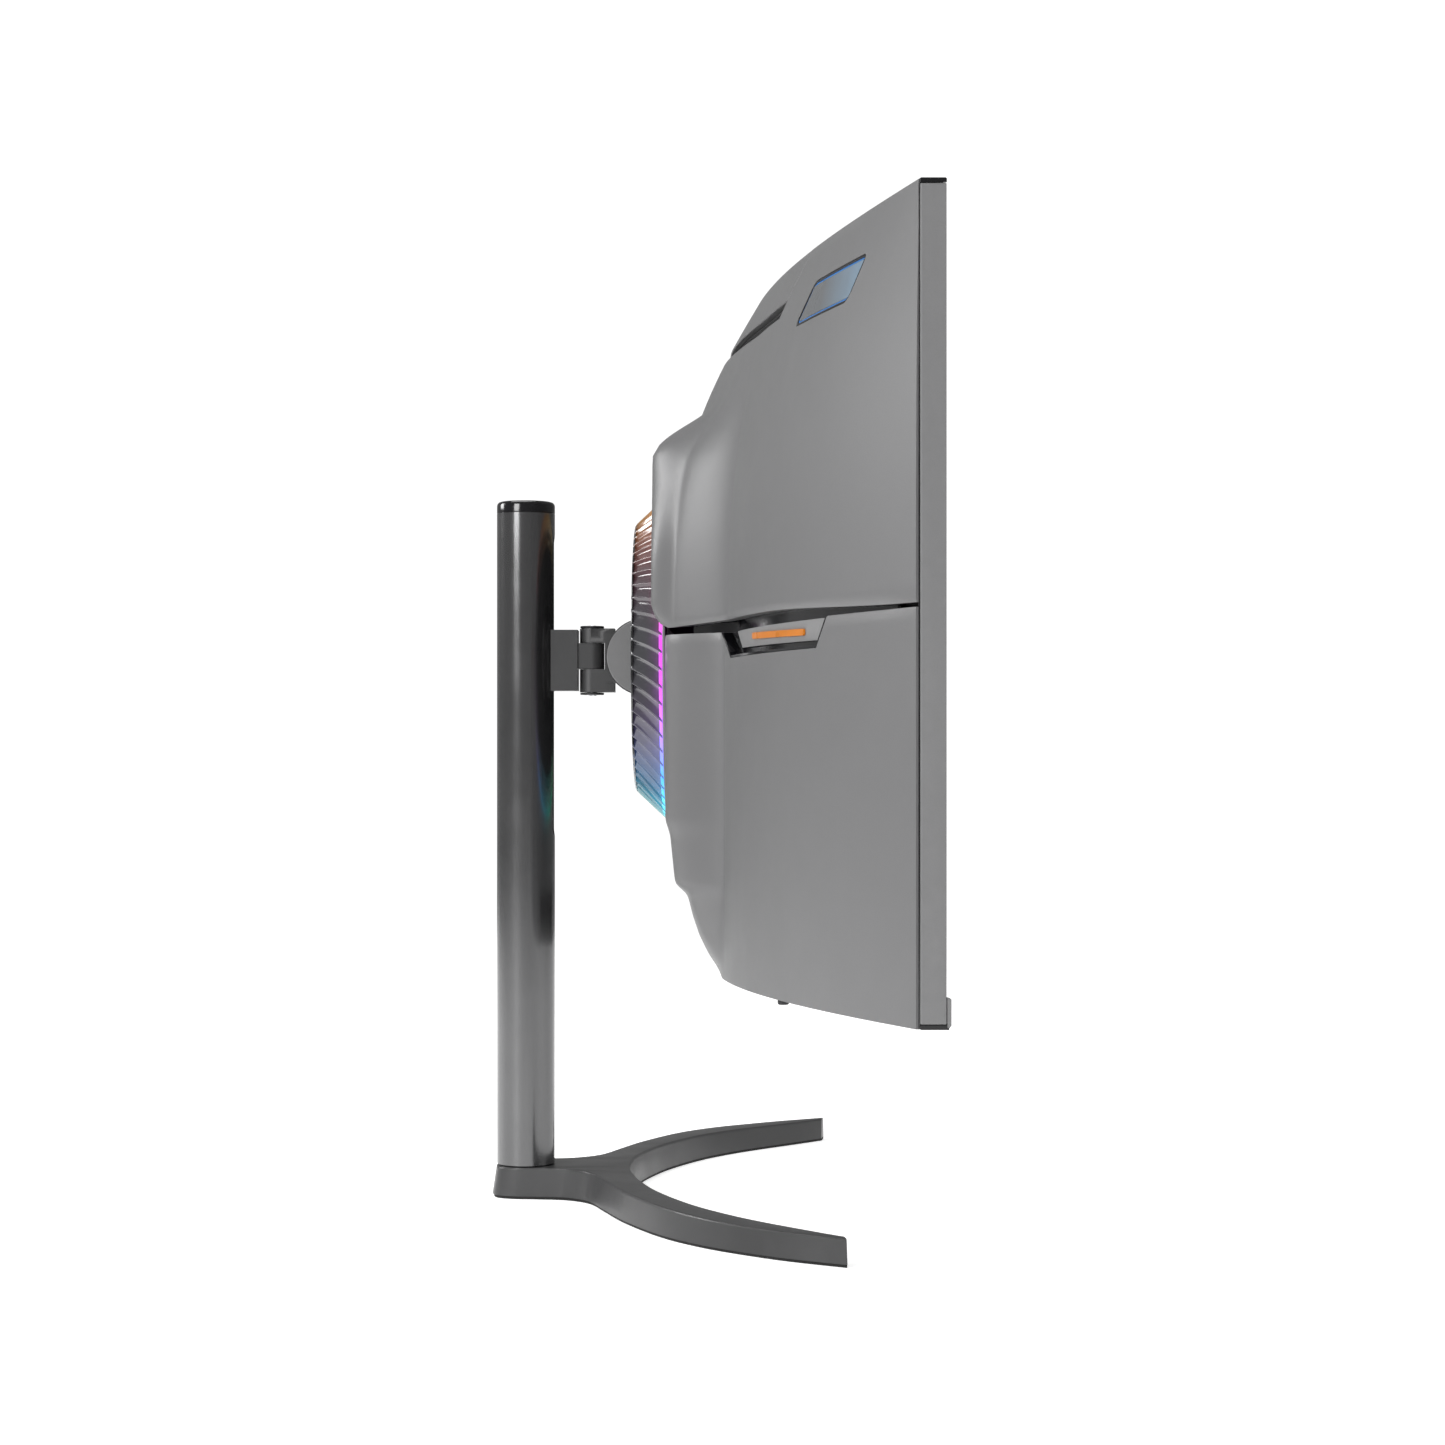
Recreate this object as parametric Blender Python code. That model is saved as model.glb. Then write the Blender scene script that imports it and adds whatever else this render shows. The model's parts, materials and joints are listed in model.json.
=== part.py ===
"""Curved ultrawide desktop monitor on a column stand.

The screen faces -Y, +X is the viewer's right and +Z is up. The origin is on the desk, under the
middle of the object's bounding box. Dimensions are in millimetres and become metres in new_object.
"""

from math import cos, pi, radians, sin, sqrt

import bmesh
import bpy
from mathutils import Matrix, Vector

MM = 0.001
GAP = 0.3  # clearance between pieces that touch

# Screen: 34 inch class, 21:9, curved to a radius of 1500
CURVE_R = 1500.0
HALF_W = 399.1
SCREEN_LOW, SCREEN_HIGH = 133.5, 498.8
EDGE_FRONT_Y = -114.75  # front of the screen at its left and right edges
FRAME_DEPTH = 11.3  # depth of the side frames
STACK_DEPTH = 8.2  # panel, light guide and chassis together
WALL = 2.4
CHIN_HEIGHT = 13.8
CHIN_PROUD = 2.0

# Rear shells
COVER_HALF_W = 396.8
LIP_Z = 319.0
LOWER_TOP_Z = 315.0
FLANGE = 8.0
HUB_Y = 23.2  # rear plane of the hub
HUB_HALF_W, HUB_FADE_W = 88.0, 102.0
HUB_NARROW_Z, HUB_TOP_Z, HUB_BLEND_Z = 350.0, 412.0, 442.0
SHOULDER_LOW_Z, SHOULDER_HIGH_Z = 405.0, 455.0
BOSS_HALF_W, BOSS_FADE_W = 98.0, 140.0
PANEL_LOW_Z, VENT_LOW_Z = 477.0, 469.5
PANEL_HALF_LOW, PANEL_HALF_HIGH = 203.0, 225.0
VENT_HALF_W = 197.0
BADGE_LOW, BADGE_HIGH = 458.5, 478.0
BADGE_X, BADGE_W, BADGE_LEAN = 238.0, 79.0, 19.5
TRAY_LOW_Z = 300.7
TRAY_IN_LOW, TRAY_OUT_LOW = 160.0, 304.0  # ends of the light bar recess at its lower edge
TRAY_IN_SLOPE, TRAY_OUT_SLOPE = -26.0 / 14.3, 12.0 / 14.3
BAR_START, BAR_END = 200.0, 281.0
BAY_HALF_W, BAY_TOP = 66.0, 168.0  # bay for the power and video sockets

# Ring, tilt hinge and swivel hinge
RING_Z = 306.0
RING_BASE_Y, RING_REAR_Y = 16.2, 34.75
RING_BASE_R, RING_REAR_R = 93.0, 75.6
RING_HOLE_R = 60.0
RING_FINS = 60
FIN_HEIGHT = 2.2
RING_SWIRL = radians(-6)  # turn of each fin between its root and its rear end
TILT_Y, TILT_Z = 29.35, 306.0
TILT_R = 21.8
CHEEK_IN, CHEEK_OUT = 16.5, 21.0
SWIVEL_Y = 59.95
KNUCKLE_R = 7.0
TONGUE_LOW, TONGUE_HIGH = 299.7, 314.2
EAR_LOW, EAR_HIGH = 286.4, 322.6

# Column and base
POLE_Y, POLE_R, POLE_WALL = 97.75, 16.5, 2.0
POLE_LOW, POLE_HIGH = 17.8, 388.0
CAP_HIGH = 394.8
SLOT_LOW, SLOT_HIGH, SLOT_W = 204.0, 376.0, 10.4
BASE_LOW, BASE_FOOT_H, BASE_TIP_H = 1.6, 17.5, 14.0
PAD_H = 1.3
DRAFT = 2.4

# Joystick under the right-hand edge, seen from behind
STICK_X, STICK_Y, STICK_PIVOT_Z = -235.0, -46.5, 146.0
STICK_HOLE_R = 4.7

COLOURS = {
    "shell_grey": ((0.205, 0.205, 0.207), 0.5, 0.35),
    "frame_grey": ((0.235, 0.235, 0.237), 0.45, 0.4),
    "stand_grey": ((0.13, 0.13, 0.132), 0.38, 0.6),
    "gloss_black": ((0.012, 0.012, 0.013), 0.12, 0.0),
    "matte_black": ((0.02, 0.02, 0.021), 0.55, 0.0),
    "rubber": ((0.015, 0.015, 0.015), 0.85, 0.0),
    "screen": ((0.01, 0.01, 0.012), 0.3, 0.0),
    "film": ((0.85, 0.85, 0.83), 0.5, 0.0),
    "steel": ((0.55, 0.55, 0.56), 0.32, 1.0),
    "board": ((0.02, 0.1, 0.05), 0.5, 0.0),
    "ring_smoke": ((0.2, 0.2, 0.22), 0.1, 0.0),
    "led_white": ((0.8, 0.8, 0.8), 0.4, 0.0),
    "orange_lens": ((0.75, 0.2, 0.0), 0.4, 0.0),
    "blue_lens": ((0.1, 0.3, 0.7), 0.2, 0.0),
    "acetal": ((0.75, 0.75, 0.72), 0.5, 0.0),
}


def clear_scene():
    for obj in list(bpy.data.objects):
        bpy.data.objects.remove(obj)


def make_materials():
    made = {}
    for name, (colour, roughness, metallic) in COLOURS.items():
        material = bpy.data.materials.new(name)
        material.use_nodes = True
        shader = material.node_tree.nodes["Principled BSDF"]
        shader.inputs["Base Color"].default_value = (*colour, 1.0)
        shader.inputs["Roughness"].default_value = roughness
        shader.inputs["Metallic"].default_value = metallic
        made[name] = material
    return made


clear_scene()
MATERIALS = make_materials()


def new_empty(name, x, y, z, parent=None):
    """An empty on a joint's axis, in world millimetres."""
    empty = bpy.data.objects.new(name, None)
    empty.location = Vector((x, y, z)) * MM
    bpy.context.scene.collection.objects.link(empty)
    if parent is not None:
        empty.parent = parent
        empty.matrix_parent_inverse = world_of(parent).inverted()
    return empty


def world_of(obj):
    """World matrix worked out from the parents, without waiting for a scene update."""
    if obj.parent is None:
        return obj.matrix_basis.copy()
    return world_of(obj.parent) @ obj.matrix_parent_inverse @ obj.matrix_basis


def new_object(name, bm, material, parent):
    """Turn a bmesh built in world millimetres into an object that hangs on its parent."""
    bmesh.ops.recalc_face_normals(bm, faces=bm.faces)
    bm.transform(Matrix.Scale(MM, 4))
    if parent is not None:
        bm.transform(world_of(parent).inverted())
    mesh = bpy.data.meshes.new(name)
    bm.to_mesh(mesh)
    bm.free()
    mesh.shade_smooth()
    mesh.set_sharp_from_angle(angle=radians(35))
    mesh.materials.append(MATERIALS[material])
    obj = bpy.data.objects.new(name, mesh)
    bpy.context.scene.collection.objects.link(obj)
    obj.parent = parent
    return obj


# ---------------------------------------------------------------- shapes

def loft(sections, closed=False):
    """Bridge equal rings of points. Open lofts get end caps."""
    bm = bmesh.new()
    rings = [[bm.verts.new(point) for point in section] for section in sections]
    count = len(rings[0])
    last = len(rings) if closed else len(rings) - 1
    for i in range(last):
        a, b = rings[i], rings[(i + 1) % len(rings)]
        for j in range(count):
            k = (j + 1) % count
            bm.faces.new((a[j], a[k], b[k], b[j]))
    if not closed:
        bm.faces.new(rings[0])
        bm.faces.new(rings[-1])
    return bm


def turned(profile, centre, axis="Z", steps=24):
    """Spin a closed (radius, height) profile about an axis through centre."""
    bm = bmesh.new()
    verts = [bm.verts.new((radius, 0.0, height)) for radius, height in profile]
    edges = [bm.edges.new((verts[i], verts[(i + 1) % len(verts)])) for i in range(len(verts))]
    bmesh.ops.spin(bm, geom=verts + edges, cent=(0, 0, 0), axis=(0, 0, 1), dvec=(0, 0, 0),
                   angle=2 * pi, steps=steps, use_merge=True)
    bmesh.ops.remove_doubles(bm, verts=bm.verts, dist=1e-5)
    bmesh.ops.dissolve_degenerate(bm, edges=bm.edges, dist=1e-5)
    turn = {"X": Matrix.Rotation(pi / 2, 4, "Y"), "Y": Matrix.Rotation(-pi / 2, 4, "X")}
    bm.transform(turn.get(axis, Matrix.Identity(4)))
    bm.transform(Matrix.Translation(centre))
    return bm


def cylinder(radius, low, high, centre, axis="Z", steps=20, chamfer=0.0):
    """Solid cylinder between two heights measured along its axis from centre."""
    rings = [(radius - chamfer, low), (radius, low + chamfer), (radius, high - chamfer),
             (radius - chamfer, high)]
    if chamfer == 0.0:
        rings = [(radius, low), (radius, high)]
    sections = [[(r * cos(2 * pi * i / steps), r * sin(2 * pi * i / steps), h) for i in range(steps)]
                for r, h in rings]
    bm = loft(sections)
    turn = {"X": Matrix.Rotation(pi / 2, 4, "Y"), "Y": Matrix.Rotation(-pi / 2, 4, "X")}
    bm.transform(turn.get(axis, Matrix.Identity(4)))
    bm.transform(Matrix.Translation(centre))
    return bm


def tube(outer, inner, low, high, centre, axis="Z", steps=24):
    return turned([(inner, low), (outer, low), (outer, high), (inner, high)], centre, axis, steps)


def block(low, high):
    """Box between two corners."""
    bm = bmesh.new()
    bmesh.ops.create_cube(bm, size=1.0)
    size = Vector(high) - Vector(low)
    middle = (Vector(high) + Vector(low)) / 2
    bm.transform(Matrix.Translation(middle) @ Matrix.Diagonal((*size, 1.0)))
    return bm


def bevel(obj, width, segments=1):
    modifier = obj.modifiers.new("Bevel", "BEVEL")
    modifier.width = width * MM
    modifier.segments = segments
    modifier.limit_method = "ANGLE"
    modifier.angle_limit = radians(40)
    return obj


def boolean(obj, bm, operation):
    """Cut or join a helper shape, which stays in the file as a hidden wire object."""
    helper = new_object(f"{obj.name}_{operation.lower()}_{len(obj.modifiers)}", bm, "steel", None)
    helper.hide_render = True
    helper.display_type = "WIRE"
    modifier = obj.modifiers.new(operation.title(), "BOOLEAN")
    modifier.operation = operation
    modifier.solver = "EXACT"
    modifier.object = helper
    return obj


def cut(obj, bm):
    return boolean(obj, bm, "DIFFERENCE")


def join(obj, bm):
    return boolean(obj, bm, "UNION")


# ---------------------------------------------------------------- surfaces of the screen and shells

def smoothstep(value, start, end):
    t = min(1.0, max(0.0, (value - start) / (end - start)))
    return t * t * (3 - 2 * t)


def front_y(x):
    """Front of the curved screen."""
    return EDGE_FRONT_Y + sqrt(CURVE_R**2 - x * x) - sqrt(CURVE_R**2 - HALF_W**2)


def top_edge_y(x):
    """Rear corner of the upper shell along its top edge."""
    t = abs(x)
    return -(0.5 + 0.03 * t + 5.28e-4 * t**2 - 3.8e-7 * t**3) - 31.25


def side_y(x):
    """Rear surface of the lower shell outside the central boss, the same at every height."""
    t = max(abs(x) - 105.0, 0.0)
    return 17.8 - 0.07 * t - 9.5e-4 * t**2 + 5.3e-7 * t**3 - 31.25


def lip_z(x):
    """Height of the upper shell's lower edge."""
    t = abs(x)
    return LIP_Z + 2.0 * smoothstep(t, 90, 150) - 4.0 * smoothstep(t, 230, HALF_W)


def upper_y(x, z):
    """Rear surface of the upper shell: a broad shoulder that narrows upwards, and the hub on it."""
    t = abs(x)
    narrow = max(0.0, 1 - (x / 150.0) ** 2) ** 2
    broad = 1 - smoothstep(t, 80, 155)
    lift = narrow + (broad - narrow) * (1 - smoothstep(z, SHOULDER_LOW_Z, SHOULDER_HIGH_Z))
    low = side_y(x) + 30.0 * lift
    fall = 1 - (1 - min(1.0, max(0.0, (SCREEN_HIGH - z) / (SCREEN_HIGH - LIP_Z)))) ** 2.5
    shell = top_edge_y(x) + (low - top_edge_y(x)) * fall
    hub = HUB_Y - 6.5 * max(0.0, (335.0 - z) / 16.0) ** 2
    narrowing = smoothstep(z, HUB_NARROW_Z, HUB_TOP_Z)
    share = 1 - smoothstep(t, HUB_HALF_W - 20.0 * narrowing, HUB_FADE_W - 4.0 * narrowing)
    share *= 1 - smoothstep(z, HUB_TOP_Z, HUB_BLEND_Z)
    return shell + (max(hub, shell) - shell) * share


BOSS_PROFILE = ((133.5, -15.8), (144, -8.2), (154, -3.2), (165, 0.5), (175, 3.0), (178, 4.8),
                (181, 9.6), (186, 10.4), (208, 12.6), (216, 15.2), (320, 15.2))


def boss_y(z):
    """Rear profile of the lower shell at its middle."""
    for (z0, y0), (z1, y1) in zip(BOSS_PROFILE, BOSS_PROFILE[1:]):
        if z <= z1:
            return y0 + (y1 - y0) * (z - z0) / (z1 - z0)
    return BOSS_PROFILE[-1][1]


def lower_y(x, z):
    """Rear surface of the lower shell."""
    share = 1 - smoothstep(abs(x), BOSS_HALF_W, BOSS_FADE_W)
    return side_y(x) + (boss_y(z) - side_y(x)) * share


def lower_rim_y(x, _z):
    """Rear surface along the lower shell's upper rim, carried straight up and down."""
    return lower_y(x, LOWER_TOP_Z)


def groove_y(x, _z):
    """The deeper of the two rims on each side of the groove between the shells."""
    return min(lower_rim_y(x, LOWER_TOP_Z), upper_y(x, lip_z(x)))


def wall_depth(x, y):
    """Wall thickness along Y, thinner where the screen's own stack comes close."""
    return min(WALL, y - front_y(x) - STACK_DEPTH - 0.1)


def flange_depth(x, y):
    return max(wall_depth(x, y), min(FLANGE, y - front_y(x) - STACK_DEPTH - 2.4))


def columns(half_width, marks):
    """Column positions from one side to the other."""
    inner = [m for m in marks if m < half_width - 1.0]
    side = inner + [half_width]
    return [-x for x in reversed(side)] + [x for x in side if x > 0]


COVER_MARKS = (0, 40, 68, 78, 88, 95, 102, 112, 122, 132, 145, 160, 190, 222, 255, 290, 330, 366)
UPPER_ROWS = (498.8, 490, 479, 468, 456, 447, 440, 433, 424, 400, 370, 335, 327)
LOWER_ROWS = (300, 260, 216, 208, 186, 181, 178, 175, 165, 154, 144, 133.5)


def shell_section(x, rows, surface, edge_z, edge_out, flange_z, flange_out):
    """One closed ring of a cover at x: end wall, rear surface, flange, and back along the inside.

    edge_out and flange_out are +1 where material lies above that z, and -1 where it lies below.
    """
    ys = [surface(x, z) for z in rows]
    front = min(front_y(x) + STACK_DEPTH + 0.4, ys[0] - wall_depth(x, ys[0]) - 0.2)
    outside = [(x, front, edge_z)] + [(x, y, z) for y, z in zip(ys, rows)]
    last = surface(x, flange_z)
    reach = flange_depth(x, last)
    turn_in = [(x, last, flange_z), (x, last - reach, flange_z),
               (x, last - reach, flange_z + WALL * flange_out)]
    inner_rows = [edge_z + WALL * edge_out] + list(rows[1:]) + [flange_z + WALL * flange_out]
    inside = [(x, surface(x, z) - wall_depth(x, surface(x, z)), z) for z in reversed(inner_rows)]
    return outside + turn_in + inside + [(x, front, edge_z + WALL * edge_out)]


def strip(pairs, surface, start, end):
    """Closed strip that follows a surface. Each pair is the low and high (x, z) end of a column."""
    sections = []
    for (x0, z0), (x1, z1) in pairs:
        a, b = surface(x0, z0), surface(x1, z1)
        sections.append([(x0, a - start, z0), (x1, b - start, z1), (x1, b - end, z1), (x0, a - end, z0)])
    return loft(sections)


def panel_sheet(half_width, low, high, start, end, steps=20):
    """Curved sheet of the screen stack, between two depths behind the front."""
    sections = []
    for i in range(steps + 1):
        x = half_width * (2 * i / steps - 1)
        y = front_y(x)
        sections.append([(x, y + start, low), (x, y + start, high), (x, y + end, high), (x, y + end, low)])
    return loft(sections)


# ---------------------------------------------------------------- stand

def spline(points, per_span):
    """Smooth curve through points, as a Catmull-Rom chain."""
    padded = [points[0]] + list(points) + [points[-1]]
    out = []
    for i in range(1, len(padded) - 2):
        p0, p1, p2, p3 = (Vector(p) for p in padded[i - 1:i + 3])
        for k in range(per_span):
            t = k / per_span
            out.append(0.5 * (2 * p1 + (p2 - p0) * t + (2 * p0 - 5 * p1 + 4 * p2 - p3) * t**2
                              + (3 * p1 - p0 - 3 * p2 + p3) * t**3))
    out.append(Vector(points[-1]))
    return out


# Half outline of the wishbone foot in plan: outer edge and inner edge, from the rear to the tip.
FOOT_OUTER = ((0, 116.75), (12, 114.5), (18, 105), (19.6, 90), (23, 73.5), (36, 60), (63, 50.5),
              (100, 37.7), (143, 17.2), (172, -3.5), (192, -23.5), (212, -48.5), (229.5, -78.0))
FOOT_INNER = ((0, 37.8), (7, 37.8), (14, 37.5), (21, 37), (28, 36.2), (40, 34), (58, 30),
              (92, 19.3), (130, 1.2), (157, -17.5), (178, -36), (198, -56), (219, -76.5))


def foot_ring(outer, inner, inset, low, high):
    """Section of the foot between its outer and inner edge: drafted sides and chamfered top edges."""
    across = (inner - outer).normalized()
    a, b = outer + across * inset, inner - across * inset
    chamfer = 1.0
    rise = high - low
    return [(*a, low), (*(a + across * DRAFT * (rise - chamfer) / rise), high - chamfer),
            (*(a + across * (DRAFT + chamfer)), high), (*(b - across * chamfer), high),
            (*b, high - chamfer), (*(b + across * DRAFT), low)]


def foot_sections(inset, low, foot_high, tip_high):
    outer = spline([Vector(p) for p in FOOT_OUTER], 2)
    inner = spline([Vector(p) for p in FOOT_INNER], 2)
    half = []
    for i, (a, b) in enumerate(zip(outer, inner)):
        high = foot_high + (tip_high - foot_high) * smoothstep(i, 8, len(outer) - 1)
        half.append(foot_ring(a, b, inset, low, high))
    mirrored = [[(-x, y, z) for x, y, z in ring] for ring in reversed(half[1:])]
    return mirrored + half


def pad_sections():
    outer = spline([Vector(p) for p in FOOT_OUTER], 2)
    inner = spline([Vector(p) for p in FOOT_INNER], 2)
    half = []
    for a, b in zip(outer, inner):
        across = (b - a).normalized()
        a, b = a + across * 0.8, b + across * (DRAFT - 0.8)
        half.append([(*a, 0.0), (*a, PAD_H), (*b, PAD_H), (*b, 0.0)])
    mirrored = [[(-x, y, z) for x, y, z in ring] for ring in reversed(half[1:])]
    return mirrored + half


def build_stand(base):
    sections = foot_sections(0.0, BASE_LOW, BASE_FOOT_H, BASE_TIP_H)
    foot = new_object("base_wishbone", loft(sections), "stand_grey", base)
    cut(foot, cylinder(9.5, -5, 8.0, (0, POLE_Y, 0)))
    cut(foot, cylinder(3.4, -5, 30, (0, POLE_Y, 0)))
    pad = new_object("base_pad", loft(pad_sections()), "rubber", base)
    cut(pad, cylinder(10.5, -5, 8.0, (0, POLE_Y, 0)))

    screw = new_object("base_thumbscrew", cylinder(8.8, 2.4, 7.2, (0, POLE_Y, 0), chamfer=0.6), "steel", base)
    join(screw, cylinder(2.9, 5.0, 27.0, (0, POLE_Y, 0), steps=16))

    plug = new_object("pole_foot_plug", cylinder(14.2, 18.0, 32.0, (0, POLE_Y, 0)), "steel", base)
    cut(plug, cylinder(3.2, 10.0, 28.0, (0, POLE_Y, 0), steps=16))

    wall = tube(POLE_R, POLE_R - POLE_WALL, POLE_LOW, POLE_HIGH, (0, POLE_Y, 0), steps=32)
    pole = new_object("pole_tube", wall, "stand_grey", base)
    cut(pole, block((-SLOT_W / 2, POLE_Y - 25, SLOT_LOW), (SLOT_W / 2, POLE_Y - 8, SLOT_HIGH)))

    cap_profile = [(0, 378.0), (14.0, 378.0), (14.0, 388.4), (POLE_R, 388.4), (POLE_R, CAP_HIGH - 2.0),
                   (POLE_R - 2.0, CAP_HIGH), (0, CAP_HIGH)]
    new_object("pole_cap", turned(cap_profile, (0, POLE_Y, 0), steps=32), "gloss_black", base)

    rail_y = POLE_Y + 9.6
    bevel(new_object("guide_rail", block((-5, rail_y, 32.4), (5, rail_y + 2.4, 377.6)), "steel", base), 0.4)
    gas = new_object("gas_spring_cylinder", cylinder(7.4, 32.4, 190.0, (0, POLE_Y, 0), steps=20, chamfer=0.8),
                     "matte_black", base)
    cut(gas, cylinder(4.6, 36.0, 200.0, (0, POLE_Y, 0), steps=16))


def build_carriage(carriage):
    new_object("gas_spring_rod", cylinder(4.2, 117.0, 275.7, (0, POLE_Y, 0), steps=16), "steel", carriage)

    slide = new_object("slide_carriage", cylinder(13.8, 276.0, 327.6, (0, POLE_Y, 0), steps=20, chamfer=0.8),
                       "acetal", carriage)
    cut(slide, block((-20, POLE_Y - 20, 270), (20, POLE_Y - 10.4, 340)))
    cut(slide, block((-5.3, POLE_Y + 9.3, 270), (5.3, POLE_Y + 20, 340)))

    bracket = new_object("neck_bracket", block((-8.3, SWIVEL_Y + 8.0, 287.2), (8.3, POLE_Y - 12.0, 321.8)),
                         "stand_grey", carriage)
    cut(bracket, cylinder(POLE_R + GAP, 200, 400, (0, POLE_Y, 0), steps=32))
    join(bracket, block((-4.6, SWIVEL_Y + 20.0, 289.0), (4.6, POLE_Y - 10.8, 320.0)))
    join(bracket, block((-KNUCKLE_R, SWIVEL_Y, TONGUE_LOW), (KNUCKLE_R, SWIVEL_Y + 12.0, TONGUE_HIGH)))
    join(bracket, cylinder(KNUCKLE_R, TONGUE_LOW, TONGUE_HIGH, (0, SWIVEL_Y, 0), steps=20))
    cut(bracket, cylinder(3.3, 280, 330, (0, SWIVEL_Y, 0), steps=16))
    for i, z in enumerate((297.0, 312.0)):
        cut(slide, cylinder(2.3, -30.0, 0.0, (0, POLE_Y, z), "Y", 12))
        cut(slide, cylinder(4.3, -4.0, 30.0, (0, POLE_Y, z), "Y", 16))
        cut(bracket, cylinder(2.3, -22.0, 0.0, (0, POLE_Y, z), "Y", 12))
        shank = cylinder(1.9, -21.5, -2.0, (0, POLE_Y, z), "Y", 12)
        screw = new_object(f"carriage_screw_{i + 1}", shank, "steel", carriage)
        join(screw, cylinder(4.0, -3.7, -0.5, (0, POLE_Y, z), "Y", 16))


def build_yoke(yoke):
    neck = block((-8.3, TILT_Y + 8.0, 291.7), (8.3, SWIVEL_Y - 7.6, 320.3))
    body = new_object("swivel_yoke", neck, "stand_grey", yoke)
    for low, high in ((EAR_LOW, TONGUE_LOW - GAP), (TONGUE_HIGH + GAP, EAR_HIGH)):
        join(body, cylinder(KNUCKLE_R, low, high, (0, SWIVEL_Y, 0), steps=20))
        join(body, block((-KNUCKLE_R, SWIVEL_Y - 13.0, low), (KNUCKLE_R, SWIVEL_Y, high)))
    join(body, cylinder(14.3, -CHEEK_IN + GAP, CHEEK_IN - GAP, (0, TILT_Y, TILT_Z), "X", 24))
    cut(body, cylinder(3.2, 270, 340, (0, SWIVEL_Y, 0), steps=16))
    cut(body, cylinder(4.3, -30, 30, (0, TILT_Y, TILT_Z), "X", 20))
    pin = cylinder(2.9, 284.4, 324.4, (0, SWIVEL_Y, 0), steps=16, chamfer=0.4)
    new_object("swivel_pin", pin, "steel", yoke)
    for name, low in (("swivel_washer_lower", EAR_LOW - 1.5), ("swivel_washer_upper", EAR_HIGH + GAP)):
        new_object(name, tube(6.8, 3.2, low, low + 1.2, (0, SWIVEL_Y, 0), steps=24), "matte_black", yoke)


# ---------------------------------------------------------------- head

def build_tilt_bracket(head):
    plate_y = (-7.5, -4.0)  # against the VESA plate, rear face at -4
    bracket = new_object("tilt_bracket", block((-45, plate_y[0], RING_Z - 45), (45, plate_y[1], RING_Z + 45)),
                         "matte_black", head)
    for side in (-1, 1):
        low, high = sorted((side * CHEEK_IN, side * CHEEK_OUT))
        join(bracket, cylinder(TILT_R, low, high, (0, TILT_Y, TILT_Z), "X", 28))
        join(bracket, block((low, plate_y[0] + 1, TILT_Z - 18), (high, TILT_Y, TILT_Z + 18)))
    cut(bracket, cylinder(4.3, -30, 30, (0, TILT_Y, TILT_Z), "X", 20))
    new_object("tilt_pin", cylinder(4.0, -20.6, 20.6, (0, TILT_Y, TILT_Z), "X", 20, 0.5), "steel", head)
    for name, side in (("hinge_cap_left", -1), ("hinge_cap_right", 1)):
        low, high = sorted((side * (CHEEK_OUT + GAP), side * (CHEEK_OUT + 1.8)))
        new_object(name, cylinder(TILT_R, low, high, (0, TILT_Y, TILT_Z), "X", 28, 0.4), "stand_grey", head)

    vesa = new_object("vesa_plate", block((-60, -10.8, RING_Z - 60), (60, -7.8, RING_Z + 60)), "steel", head)
    for x in (-50, 50):
        for z in (RING_Z - 50, RING_Z + 50):
            join(vesa, cylinder(5.0, -52.5, -8.5, (x, 0, z), "Y", 16))
    number = 0
    for x in (-37.5, 37.5):
        for z in (RING_Z - 37.5, RING_Z + 37.5):
            number += 1
            cut(bracket, cylinder(2.5, -20, 5, (x, 0, z), "Y", 12))
            cut(vesa, cylinder(2.5, -20, 5, (x, 0, z), "Y", 12))
            shank = cylinder(2.1, -14.0, -2.0, (x, 0, z), "Y", 12)
            screw = new_object(f"bracket_screw_{number}", shank, "steel", head)
            join(screw, cylinder(4.2, -3.6, -1.0, (x, 0, z), "Y", 16))


def ring_point(radius, angle, y):
    return (radius * cos(angle), y, RING_Z + radius * sin(angle))


def ring_radius(y):
    """Outer radius of the light ring, which narrows towards the rear."""
    return RING_BASE_R + (RING_REAR_R - RING_BASE_R) * (y - RING_BASE_Y) / (RING_REAR_Y - RING_BASE_Y)


def build_ring(head):
    centre = (0, 0, RING_Z)
    new_object("ring_base", tube(RING_BASE_R, RING_HOLE_R, 15.5, 17.0, centre, "Y", 40), "frame_grey", head)
    new_object("ring_led_board", tube(83.0, 72.0, 17.4, 18.6, centre, "Y", 32), "led_white", head)

    root_y, lip_y = 17.4, RING_REAR_Y - 2.5
    sections = []
    for i in range(2 * RING_FINS):
        fin = 0.0 if i % 2 else -FIN_HEIGHT
        start = pi * i / RING_FINS
        end = start + RING_SWIRL
        near_end = start + RING_SWIRL * (lip_y - root_y) / (RING_REAR_Y - root_y)
        sections.append([ring_point(ring_radius(root_y) + fin, start, root_y),
                         ring_point(RING_REAR_R + fin, end, RING_REAR_Y),
                         ring_point(RING_REAR_R - 7.6, end, RING_REAR_Y),
                         ring_point(RING_REAR_R - 6.5, near_end, lip_y),
                         ring_point(RING_BASE_R - 7.0, start, root_y)])
    new_object("ring_diffuser", loft(sections, closed=True), "ring_smoke", head)
    cap = [(32, 28.6), (67.6, 28.6), (67.6, 32.0), (32, 30.4)]
    new_object("ring_centre_cap", turned(cap, centre, "Y", 32), "gloss_black", head)


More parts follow.
